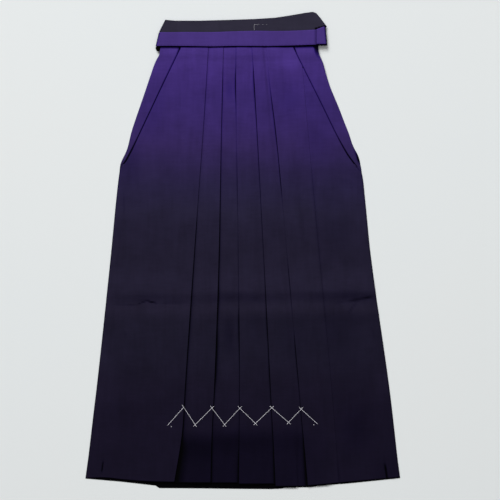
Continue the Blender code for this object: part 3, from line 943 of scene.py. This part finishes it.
def pack_rows(pack, seed):
    """Rows across a tie that is folded up on itself, each along its whole length."""
    side = 1.0 if pack.outer > pack.inner else -1.0
    reach = [1.6 * uneven_at(seed, layer, 0.5) for layer in range(PACK_LAYERS + 1)]
    shift = [0.9 * uneven_at(seed, layer, 4.5) for layer in range(PACK_LAYERS + 1)]
    rows = []
    for line in range(PACK_LINES):
        share = line / (PACK_LINES - 1)
        down = pack.top + PACK_MARGIN + (pack.bottom - pack.top - 2 * PACK_MARGIN) * share
        row = []
        for layer in range(PACK_LAYERS):
            outward = layer % 2 == 0
            near, far = (pack.inner, pack.outer) if outward else (pack.outer, pack.inner)
            out = side if outward else -side
            start = near + out * (PACK_INSET + abs(reach[layer]))
            stop = far - out * (PACK_INSET + abs(reach[layer + 1]))
            middle = PACK_LAYER * (layer + 0.5)
            for step in range(PACK_COLUMNS):
                across = between(start, stop, step / (PACK_COLUMNS - 1))
                row.append(Spot(across, down + shift[layer], middle, 0.0))
            if layer == PACK_LAYERS - 1:
                continue
            for step in range(1, PACK_TURN_STEPS):
                angle = math.radians(-90.0 + 180.0 / PACK_TURN_STEPS * step)
                lower = down + shift[layer] + (shift[layer + 1] - shift[layer]) * step / PACK_TURN_STEPS
                row.append(Spot(stop + out * PACK_LAYER / 2 * math.cos(angle), lower,
                                middle + PACK_LAYER / 2 + PACK_LAYER / 2 * math.sin(angle), TURN_SHADE))
        rows.append(row)
    return rows


def make_folded_tie(name, node, pack, seed, material):
    obj = cloth_mesh(name, pack_rows(pack, seed))
    give_wall(obj, TIE_CLOTH)
    return finish_piece(obj, node, "band_cloth", material)


def make_right_tie(material):
    """The right front tie: its seamed end on the band, round the end, and folded up underneath."""
    obj = make_tube("right_front_tie", TIE_SEAM_END, TIE_WRAP_END, TIE_RETURN, 0.9, 1.2)
    pack = cloth_mesh("right_front_tie_pack", pack_rows(FRONT_PACK_RIGHT, 6.0))
    give_wall(pack, TIE_CLOTH)
    join_pieces(obj, pack)
    return finish_piece(obj, "front_tie_right", "band_cloth", material)


def join_pieces(obj, other):
    """Makes one mesh of two pieces, with their walls."""
    whole = bmesh.new()
    depsgraph = bpy.context.evaluated_depsgraph_get()
    for piece in (obj, other):
        whole.from_mesh(piece.evaluated_get(depsgraph).to_mesh())
    obj.modifiers.clear()
    whole.to_mesh(obj.data)
    whole.free()
    bpy.data.objects.remove(other)


def outline_point(rows, share):
    """A place along an outline at a share of its length."""
    spans = [math.hypot(b.across - a.across, b.down - a.down) for a, b in zip(rows, rows[1:])]
    reach = share * sum(spans)
    for start, end, span in zip(rows, rows[1:], spans):
        if reach <= span:
            along = reach / span
            return between(start.across, end.across, along), between(start.down, end.down, along)
        reach -= span
    return rows[-1].across, rows[-1].down


def band_shares(stretches):
    """Shares of a side from 0 to 1, evenly spaced within each stretch."""
    shares = [0.0]
    for start, end, count in stretches:
        shares += [start + (end - start) * step / count for step in range(1, count + 1)]
    return shares


def band_place(axis, u, v, top, left, right):
    """A place on the back band, across or down, between its four outline curves."""
    top_left, top_right = BAND_OUTLINE_TOP[0][axis], BAND_OUTLINE_TOP[-1][axis]
    low_left, low_right = BAND_OUTLINE_LEFT[-1][axis], BAND_OUTLINE_RIGHT[-1][axis]
    corners = ((1 - u) * (1 - v) * top_left + u * (1 - v) * top_right
               + (1 - u) * v * low_left + u * v * low_right)
    return ((1 - v) * top[axis] + v * between(low_left, low_right, u) + (1 - u) * left[axis]
            + u * right[axis] - corners)


def band_spot(across, down, at_rim):
    """Height and painted shade of the back band: darker at its rim, painted shade at its lower left corner
    and along the tie's top edge.
    """
    rise = min(0.25 * uneven_at(across / 40, down / 22, 2.0), 0.1)
    corner = ease(down, -3.0, 0.0) * fall(across, -172.0, -168.0)
    along_tie = ease(across, 148.0, 152.0) * bump(down, -36.0 - (across - 152.0) * 0.31, 2.8)
    return Spot(across, down, BACK_BAND_MIDDLE + rise - 0.12 * at_rim,
                max(0.6 * at_rim, 1.6 * corner, 2.4 * along_tie))


def make_back_band(inner_side, outer_side):
    """The back waistband, its dark inner side up."""
    shares_down = band_shares(((0.0, 0.2, 8), (0.2, 0.36, 22), (0.36, 1.0, 18)))
    shares_across = band_shares(((0.0, 0.9, 76), (0.9, 1.0, 18)))
    rows = []
    for v in shares_down:
        left = outline_point(BAND_OUTLINE_LEFT, v)
        right = outline_point(BAND_OUTLINE_RIGHT, v)
        row = []
        for u in shares_across:
            top = outline_point(BAND_OUTLINE_TOP, u)
            across, down = [band_place(axis, u, v, top, left, right) for axis in (0, 1)]
            at_rim = v == shares_down[0] or u in (shares_across[0], shares_across[-1])
            row.append(band_spot(across, down, at_rim))
        rows.append(row)
    obj = cloth_mesh("back_waistband", rows)
    give_wall(obj, BACK_BAND_CLOTH, other_side=True)
    bevel = obj.modifiers.new("Soft edges", "BEVEL")
    bevel.width = 0.4 * MM
    bevel.segments = 2
    bevel.angle_limit = math.radians(60.0)
    return finish_piece(obj, "back_band", "lining_cloth", inner_side, outer_side)


def thread_mesh(name, lines, radius, sides=6):
    """Round threads along lines of points, as one mesh."""
    shape = bmesh.new()
    for line in lines:
        previous = None
        for index, point in enumerate(line):
            ahead = line[min(index + 1, len(line) - 1)] - line[max(index - 1, 0)]
            ahead.normalize()
            level = ahead.cross(Vector((0.0, 0.0, 1.0))).normalized()
            upright = level.cross(ahead).normalized()
            end = index in (0, len(line) - 1)
            size = radius * MM * (0.55 if end else 1.0)
            ring = []
            for step in range(sides):
                angle = 2 * math.pi * step / sides
                ring.append(shape.verts.new(point + size * (math.cos(angle) * level
                                                            + math.sin(angle) * upright)))
            if previous:
                for step in range(sides):
                    following = (step + 1) % sides
                    shape.faces.new((previous[step], previous[following], ring[following], ring[step]))
            else:
                shape.faces.new(ring)
            previous = ring
        shape.faces.new(previous[::-1])
    bmesh.ops.recalc_face_normals(shape, faces=shape.faces[:])
    mesh = bpy.data.meshes.new(name)
    shape.to_mesh(mesh)
    shape.free()
    mesh.shade_smooth()
    return add_object(name, mesh)


def run(start, end):
    """Length of a line, and its direction across and down."""
    length = math.hypot(end.across - start.across, end.down - start.down)
    return length, (end.across - start.across) / length, (end.down - start.down) / length


class Ground:
    """Reads how high the finished cloth stands at a place."""

    def __init__(self, *pieces):
        depsgraph = bpy.context.evaluated_depsgraph_get()
        self.trees = [BVHTree.FromObject(piece, depsgraph) for piece in pieces]

    def height(self, across, down):
        start = place(across, down, 40.0)
        hits = [tree.ray_cast(start, Vector((0.0, 0.0, -1.0)))[0] for tree in self.trees]
        return max([hit.z / MM for hit in hits if hit], default=0.0)


def taut_thread(ground, start, end, radius, spacing=1.5):
    """Points of a thread that lies along a line on the cloth, bridges its steps and dips in at its ends."""
    count = max(4, round(run(start, end)[0] / spacing))
    places = [(start.across + (end.across - start.across) * step / count,
               start.down + (end.down - start.down) * step / count) for step in range(count + 1)]
    heights = [ground.height(*at) for at in places]
    reach = 2
    over = [max(heights[max(0, n - reach):n + reach + 1]) for n in range(count + 1)]
    points = []
    for n, (across, down) in enumerate(places):
        near = over[max(0, n - reach):n + reach + 1]
        height = max(sum(near) / len(near), heights[n]) + radius
        if n in (0, count):
            height = heights[n] - 0.2
        points.append(place(across, down, height))
    return points


def stretched(start, end, before, after):
    """A line made longer at its two ends."""
    step_across, step_down = run(start, end)[1:]
    return (Point(start.across - step_across * before, start.down - step_down * before),
            Point(end.across + step_across * after, end.down + step_down * after))


def beside(start, end, offset):
    """A line moved to its side."""
    step_across, step_down = run(start, end)[1:]
    return (Point(start.across - step_down * offset, start.down + step_across * offset),
            Point(end.across - step_down * offset, end.down + step_across * offset))


def sew(name, lines, radius, material):
    return finish_piece(thread_mesh(name, lines, radius), None, "sewing_thread", material)


# Threads of a knot, beside its middle line, with how high they lie in their own radii
KNOT_THREADS = ((-0.5, 1), (-0.17, 3), (0.17, 3), (0.5, 1))
KNOT_SPACING = 0.35


def make_basting(ground, material):
    """White double thread in a zigzag over the pleats, its stitches crossing at each turn."""
    radius = 0.185
    lines = []
    last = len(BASTING) - 2
    for number, (start, end) in enumerate(zip(BASTING, BASTING[1:])):
        before = 0.0 if number == 0 else BASTING_TAIL
        after = 0.0 if number in (0, last) else BASTING_TAIL
        start, end = stretched(start, end, before, after)
        for offset in (-radius, radius):
            lines.append(taut_thread(ground, *beside(start, end, offset), radius + 0.2 * (number % 2)))
    for start, end in BASTING_KNOTS:
        for offset, height in KNOT_THREADS:
            lines.append(taut_thread(ground, *beside(start, end, offset), radius * height, KNOT_SPACING))
    return sew("basting_thread", lines, radius, material)


# The upright stitch on the back band, where each stitch of the row begins and ends up and down, and
# how long its stitches and the gaps after them are
MARK_UPRIGHT = table(Point, (24.2, -33.0), (24.2, -45.2))
MARK_ROW = table(Point, (24.4, -45.3), (24.4, -45.2))
Stitch = namedtuple("Stitch", "length gap")
MARK_STITCHES = table(Stitch, (3.4, 0.9), (2.8, 1.6), (1.6, 6.6), (2.2, 5.4), (2.4, 0.0))


def make_band_mark(ground, material):
    """White stitches on the back band: one up from under the front band, then a row to the right."""
    radius = 0.17
    lines = [taut_thread(ground, *MARK_UPRIGHT, radius, 1.0)]
    low, high = MARK_ROW
    across = low.across
    for stitch in MARK_STITCHES:
        ends = Point(across, low.down), Point(across + stitch.length, high.down)
        lines.append(taut_thread(ground, *ends, radius, 0.5))
        across += stitch.length + stitch.gap
    return sew("back_band_stitches", lines, radius, material)


def make_bar_tacks(ground, material):
    """Close dark stitches that hold the ends of the side slits."""
    radius = 0.26
    lines = []
    for edge, side in (("front_left", -1), ("front_right", 1)):
        for number in range(6):
            down = SLIT_END - 3.0 + number * 0.8
            middle = EDGE[edge](down) - side * 1.2
            ends = Point(middle - 2.2, down), Point(middle + 2.2, down + 0.3)
            lines.append(taut_thread(ground, *ends, radius, 0.7))
    return sew("slit_bar_tacks", lines, radius, material)


def make_band_stitches(ground, material):
    """Small slip stitches along the lower edge of the front band."""
    radius = 0.2
    lines = []
    across = -170.0
    while across < 148.0:
        down = band_edge(across) - 2.2
        ends = Point(across, down), Point(across + 2.4, down - 0.03)
        lines.append(taut_thread(ground, *ends, radius, 0.6))
        across += 7.0
    return sew("front_band_stitches", lines, radius, material)


def group_tree(name, inputs, outputs):
    """An empty shader group with named inputs and outputs, and its two end nodes."""
    tree = bpy.data.node_groups.new(name, "ShaderNodeTree")
    for label, kind, value in inputs:
        socket = tree.interface.new_socket(label, in_out="INPUT", socket_type=kind)
        if value is not None:
            socket.default_value = value
    for label, kind in outputs:
        tree.interface.new_socket(label, in_out="OUTPUT", socket_type=kind)
    return tree, tree.nodes.new("NodeGroupInput"), tree.nodes.new("NodeGroupOutput")


def feed(tree, socket, value):
    """Links another node's output to a socket, or sets a plain value."""
    if hasattr(value, "links"):
        tree.links.new(value, socket)
    else:
        socket.default_value = value


def math_node(tree, operation, *values):
    node = tree.nodes.new("ShaderNodeMath")
    node.operation = operation
    for socket, value in zip(node.inputs, values):
        feed(tree, socket, value)
    return node.outputs[0]


def noise_node(tree, vector, scale, detail=2.0, stretch=None):
    if stretch:
        mapping = tree.nodes.new("ShaderNodeMapping")
        mapping.inputs["Scale"].default_value = stretch
        tree.links.new(vector, mapping.inputs["Vector"])
        vector = mapping.outputs["Vector"]
    node = tree.nodes.new("ShaderNodeTexNoise")
    node.inputs["Scale"].default_value = scale
    node.inputs["Detail"].default_value = detail
    tree.links.new(vector, node.inputs["Vector"])
    return node.outputs["Fac"]


def scaled(tree, value, factor):
    """A colour or a place times a factor."""
    node = tree.nodes.new("ShaderNodeVectorMath")
    node.operation = "SCALE"
    tree.links.new(value, node.inputs[0])
    tree.links.new(factor, node.inputs["Scale"])
    return node.outputs[0]


def mix_colours(tree, share, first, second, way="MIX"):
    node = tree.nodes.new("ShaderNodeMix")
    node.data_type = "RGBA"
    node.blend_type = way
    for number, value in ((0, share), (6, first), (7, second)):
        feed(tree, node.inputs[number], value)
    return node.outputs[2]


def plain_weave_group():
    """Height of a plain weave: threads that pass over and under each other."""
    tree, start, end = group_tree("plain weave", (("Vector", "NodeSocketVector", None),
                                                  ("Threads per metre", "NodeSocketFloat", 1200.0)),
                                  (("Height", "NodeSocketFloat"), ("Thread", "NodeSocketFloat")))
    split = tree.nodes.new("ShaderNodeSeparateXYZ")
    threads = scaled(tree, start.outputs["Vector"], start.outputs["Threads per metre"])
    tree.links.new(threads, split.inputs[0])
    warp = math_node(tree, "SINE", math_node(tree, "MULTIPLY", split.outputs["X"], math.pi))
    weft = math_node(tree, "SINE", math_node(tree, "MULTIPLY", split.outputs["Y"], math.pi))
    crossing = math_node(tree, "MULTIPLY", warp, weft)
    slub = noise_node(tree, start.outputs["Vector"], 60.0, 3.0, (1.0, 7.0, 1.0))
    height = math_node(tree, "ADD", math_node(tree, "MULTIPLY", crossing, 0.35), slub)
    tree.links.new(height, end.inputs["Height"])
    tree.links.new(math_node(tree, "MULTIPLY_ADD", crossing, 0.5, 0.5), end.inputs["Thread"])
    return tree


def cloth_tone_group():
    """Soft blotches and thread streaks that vary a cloth's colour."""
    tree, start, end = group_tree("cloth tone", (("Vector", "NodeSocketVector", None),
                                                 ("Color", "NodeSocketColor", None),
                                                 ("Amount", "NodeSocketFloat", 0.2)),
                                  (("Color", "NodeSocketColor"), ("Mask", "NodeSocketFloat")))
    vector = start.outputs["Vector"]
    blotch = noise_node(tree, vector, 22.0, 4.0)
    streak = noise_node(tree, vector, 160.0, 2.0, (1.0, 0.12, 1.0))
    thread = noise_node(tree, vector, 260.0, 2.0, (0.15, 1.0, 1.0))
    woven = math_node(tree, "MULTIPLY", math_node(tree, "ADD", streak, thread), 0.5)
    total = math_node(tree, "ADD", blotch, woven)
    centred = math_node(tree, "SUBTRACT", total, 1.0)
    factor = math_node(tree, "MULTIPLY_ADD", centred, start.outputs["Amount"], 1.0)
    tree.links.new(scaled(tree, start.outputs["Color"], factor), end.inputs["Color"])
    tree.links.new(total, end.inputs["Mask"])
    return tree


# How much richer in colour deep painted shade is, standing in for light bounced between folds, and how dark
# the deepest painted shade is
BOUNCE_RICHNESS = 0.62
DEEPEST = 0.985


def painted_shade_and_tone_group():
    """Paints shade into a cloth's colour where the mesh marks it at folds, edges, creases and under other
    pieces, together with uneven tone, lighter where the mark is below 0, and makes deep painted shade richer
    in colour.
    """
    tree, start, end = group_tree("painted shade and tone", (("Color", "NodeSocketColor", None),
                                                 ("Depth", "NodeSocketFloat", 0.9)),
                                  (("Color", "NodeSocketColor"),))
    marked = tree.nodes.new("ShaderNodeAttribute")
    marked.attribute_name = "painted_shade_and_tone"
    share = math_node(tree, "MULTIPLY", marked.outputs["Fac"], start.outputs["Depth"])
    share = math_node(tree, "MINIMUM", share, DEEPEST)
    squared = mix_colours(tree, 1.0, start.outputs["Color"], start.outputs["Color"], "MULTIPLY")
    mean = tree.nodes.new("ShaderNodeVectorMath")
    mean.operation = "DOT_PRODUCT"
    tree.links.new(start.outputs["Color"], mean.inputs[0])
    mean.inputs[1].default_value = (1 / 3, 1 / 3, 1 / 3)
    lifted = math_node(tree, "DIVIDE", 1.0, math_node(tree, "MAXIMUM", mean.outputs["Value"], 0.001))
    rich = scaled(tree, squared, lifted)
    painted_bounce = math_node(tree, "MULTIPLY", math_node(tree, "MAXIMUM", share, 0.0), BOUNCE_RICHNESS)
    deep = mix_colours(tree, painted_bounce, start.outputs["Color"], rich)
    tree.links.new(scaled(tree, deep, math_node(tree, "SUBTRACT", 1.0, share)), end.inputs["Color"])
    return tree


def linear(red, green, blue, gain=1.0):
    """A screen colour from 0 to 255 as the light that the cloth sends back."""
    values = []
    for value in (red, green, blue):
        value /= 255.0
        values.append(gain * (value / 12.92 if value <= 0.04045 else ((value + 0.055) / 1.055) ** 2.4))
    return (*values, 1.0)


# The dye down the skirt, from purple at the waist to near black at the hem
Dye = namedtuple("Dye", "down red green blue")
DYE = table(Dye,
    (0, 71, 50, 125), (55, 65, 45, 117), (110, 57.5, 40.5, 105), (160, 55, 39, 98),
    (205, 52, 38, 88), (235, 47, 36, 79), (255, 43, 34, 71), (290, 39.5, 33.4, 63.8),
    (345, 37, 32.7, 55.2), (380, 33.8, 29.6, 50), (430, 33, 29, 47.6), (510, 34, 30, 48.6),
    (545, 32.2, 28.2, 45.4), (572, 28.6, 25.4, 41.8), (640, 27.6, 24.4, 41),
    (700, 24.6, 20.4, 37), (760, 22.8, 18.2, 35.2), (905, 21.8, 17.4, 34.2),
)
DYE_SPAN = 1000.0
# The share of a screen colour that the cloth has itself, before sheen and light add to it
GAIN = 0.9


def ombre_group():
    """The dye's colour at each length down the garment."""
    tree, start, end = group_tree("ombre dye", (("Vector", "NodeSocketVector", None),),
                                  (("Color", "NodeSocketColor"),))
    split = tree.nodes.new("ShaderNodeSeparateXYZ")
    tree.links.new(start.outputs["Vector"], split.inputs[0])
    down = math_node(tree, "SUBTRACT", WAIST_Y * MM, split.outputs["Y"])
    broad = noise_node(tree, start.outputs["Vector"], 9.0)
    waver = math_node(tree, "MULTIPLY_ADD", broad, 0.03, -0.015)
    share = math_node(tree, "DIVIDE", math_node(tree, "ADD", down, waver), DYE_SPAN * MM)
    ramp_node = tree.nodes.new("ShaderNodeValToRGB")
    elements = ramp_node.color_ramp.elements
    while len(elements) > 1:
        elements.remove(elements[-1])
    for number, dye in enumerate(DYE):
        element = elements[0] if number == 0 else elements.new(dye.down / DYE_SPAN)
        element.position = dye.down / DYE_SPAN
        element.color = linear(dye.red, dye.green, dye.blue, GAIN)
    tree.links.new(share, ramp_node.inputs["Fac"])
    tree.links.new(ramp_node.outputs["Color"], end.inputs["Color"])
    return tree


def add_group(tree, group, links, values=()):
    node = tree.nodes.new("ShaderNodeGroup")
    node.node_tree = group
    for label, source in links:
        tree.links.new(source, node.inputs[label])
    for label, value in values:
        node.inputs[label].default_value = value
    return node


def new_material(name):
    """A material with its tree, its shader and the place on the piece."""
    material = bpy.data.materials.new(name)
    material.use_nodes = True
    tree = material.node_tree
    position = tree.nodes.new("ShaderNodeTexCoord").outputs["Object"]
    return material, tree, tree.nodes["Principled BSDF"], position


def add_relief(tree, shader, height, strength, distance):
    relief = tree.nodes.new("ShaderNodeBump")
    relief.inputs["Strength"].default_value = strength
    relief.inputs["Distance"].default_value = distance
    tree.links.new(height, relief.inputs["Height"])
    tree.links.new(relief.outputs["Normal"], shader.inputs["Normal"])


def shaded_by(colour, factor):
    """A plain colour made darker or lighter."""
    return (*(factor * value for value in colour[:3]), 1.0)


CLOTH_ROUGHNESS = 0.82
ROUGHNESS_SPREAD = 0.08
WEAVE_RELIEF = 0.12
WEAVE_DEPTH = 0.0006


def cloth_material(name, groups, colour=None, threads=1300.0, tone=0.5, depth=1.0):
    """A woven cloth: its dye or own colour, tone, painted shade, weave and sheen."""
    material, tree, shader, position = new_material(name)
    if colour:
        patches = noise_node(tree, position, 30.0)
        base = mix_colours(tree, patches, shaded_by(colour, 0.94), shaded_by(colour, 1.06))
    else:
        base = add_group(tree, groups["dye"], [("Vector", position)]).outputs["Color"]
    toned = add_group(tree, groups["tone"], [("Vector", position), ("Color", base)], [("Amount", tone)])
    shaded = add_group(tree, groups["shade"], [("Color", toned.outputs["Color"])], [("Depth", depth)])
    tree.links.new(shaded.outputs["Color"], shader.inputs["Base Color"])
    woven = add_group(tree, groups["weave"], [("Vector", position)], [("Threads per metre", threads)])
    add_relief(tree, shader, woven.outputs["Height"], WEAVE_RELIEF, WEAVE_DEPTH)
    rough = math_node(tree, "MULTIPLY_ADD", toned.outputs["Mask"], ROUGHNESS_SPREAD,
                      CLOTH_ROUGHNESS - ROUGHNESS_SPREAD)
    tree.links.new(rough, shader.inputs["Roughness"])
    shader.inputs["Specular IOR Level"].default_value = 0.03
    shader.inputs["Sheen Weight"].default_value = 0.02
    shader.inputs["Sheen Roughness"].default_value = 0.5
    shader.inputs["Sheen Tint"].default_value = (0.5, 0.4, 0.9, 1.0)
    return material


def thread_material(name, colour):
    """Twisted cotton thread."""
    material, tree, shader, position = new_material(name)
    wave = tree.nodes.new("ShaderNodeTexWave")
    wave.bands_direction = "DIAGONAL"
    wave.inputs["Scale"].default_value = 900.0
    wave.inputs["Distortion"].default_value = 1.5
    tree.links.new(position, wave.inputs["Vector"])
    # Darker bands along the twist: painted shade in its grooves
    twist_shade = mix_colours(tree, wave.outputs["Fac"], shaded_by(colour, 0.78), colour)
    tree.links.new(twist_shade, shader.inputs["Base Color"])
    add_relief(tree, shader, wave.outputs["Fac"], 0.4, 0.0002)
    rough = math_node(tree, "MULTIPLY_ADD", noise_node(tree, position, 400.0), 0.2, 0.65)
    tree.links.new(rough, shader.inputs["Roughness"])
    shader.inputs["Specular IOR Level"].default_value = 0.3
    return material


def floor_material():
    """A pale matt surface with hardly visible unevenness."""
    material, tree, shader, position = new_material("pale floor")
    patch = noise_node(tree, position, 1.6, 3.0)
    tone = mix_colours(tree, patch, (0.73, 0.755, 0.76, 1.0), (0.745, 0.752, 0.742, 1.0))
    tree.links.new(tone, shader.inputs["Base Color"])
    add_relief(tree, shader, noise_node(tree, position, 300.0, 3.0), 0.03, 0.001)
    shader.inputs["Roughness"].default_value = 0.85
    shader.inputs["Specular IOR Level"].default_value = 0.2
    return material


FLOOR_SIZE = 6.0
FLOOR_DROP = 0.0001


def make_floor():
    shape = bmesh.new()
    bmesh.ops.create_grid(shape, x_segments=2, y_segments=2, size=FLOOR_SIZE)
    mesh = bpy.data.meshes.new("floor")
    shape.to_mesh(mesh)
    shape.free()
    floor = add_object("floor", mesh)
    floor.location.z = -FLOOR_DROP
    mesh.materials.append(floor_material())


def add_light(name, place_at, size, power, colour):
    """A square light that shines on the middle of the part."""
    data = bpy.data.lights.new(name, "AREA")
    data.shape = "SQUARE"
    data.size = size
    data.energy = power
    data.color = colour
    light = add_object(name, data)
    light.location = place_at
    light.rotation_euler = (-Vector(place_at)).to_track_quat("-Z", "Y").to_euler()


def make_lights():
    add_light("window light", (-3.6, 8.6, 8.4), 6.4, 1750.0, (0.97, 0.99, 1.0))
    add_light("ceiling light", (0.3, 0.0, 3.2), 3.0, 22.0, (1.0, 0.99, 0.97))
    world = bpy.data.worlds.new("studio")
    world.use_nodes = True
    background = world.node_tree.nodes["Background"]
    background.inputs["Color"].default_value = (0.96, 0.98, 1.0, 1.0)
    background.inputs["Strength"].default_value = 0.18
    bpy.context.scene.world = world


PIXEL = 2.0785           # one pixel of the photo, in millimetres
PHOTO_WIDTH = 500
CAMERA_PLACE = (0.01504, 0.00123, 4.0)


def make_camera():
    """Straight above the middle of the photo, with the waist up."""
    data = bpy.data.cameras.new("camera above")
    data.sensor_fit = "HORIZONTAL"
    data.angle = 2.0 * math.atan(PHOTO_WIDTH / 2 * PIXEL * MM / CAMERA_PLACE[2])
    camera = add_object("camera above", data)
    camera.location = CAMERA_PLACE
    bpy.context.scene.camera = camera


BAND_COLOUR = (70.6, 50.9, 121)
LINING_COLOUR = (47.2, 44.2, 59)
DARK_THREAD_COLOUR = (52, 38, 92)


def dress():
    make_camera()
    make_lights()
    make_floor()
    groups = {"weave": plain_weave_group(), "tone": cloth_tone_group(), "shade": painted_shade_and_tone_group(),
              "dye": ombre_group()}
    purple = linear(*BAND_COLOUR, GAIN)
    charcoal = linear(*LINING_COLOUR, GAIN)
    # The inner sides carry the painted shade; the outer sides of the back and the back band leave it out
    skirt = cloth_material("dyed skirt cloth", groups)
    outer_back = cloth_material("dyed skirt cloth of the outer back", groups, depth=0.0)
    band_cloth = cloth_material("purple band cloth", groups, purple, tone=0.3)
    outer_band = cloth_material("purple cloth of the outer back band", groups, purple, tone=0.3, depth=0.0)
    lining = cloth_material("charcoal inner side", groups, charcoal, threads=1100.0, tone=0.4)
    white = thread_material("white cotton thread", (0.82, 0.8, 0.85, 1.0))
    dark = thread_material("purple sewing thread", linear(*DARK_THREAD_COLOUR))
    front = make_front_skirt(skirt)
    side = make_side_width(skirt)
    back = make_back_skirt(skirt, outer_back)
    band = make_front_band(band_cloth)
    right_tie = make_right_tie(band_cloth)
    back_band = make_back_band(lining, outer_band)
    ties = [make_folded_tie("left_front_tie", "front_tie_left", FRONT_PACK_LEFT, 2.0, band_cloth),
            make_folded_tie("left_back_tie", "back_tie_left", BACK_PACK_LEFT, 3.0, band_cloth),
            make_folded_tie("right_back_tie", "back_tie_right", BACK_PACK_RIGHT, 4.0, band_cloth)]
    skirts = Ground(front, side, back)
    bands = Ground(band, right_tie, back_band)
    sewing = (make_basting(skirts, white), make_band_mark(Ground(back_band), white),
              make_bar_tacks(skirts, dark), make_band_stitches(bands, dark))


dress()
bpy.context.scene.view_settings.view_transform = "Standard"
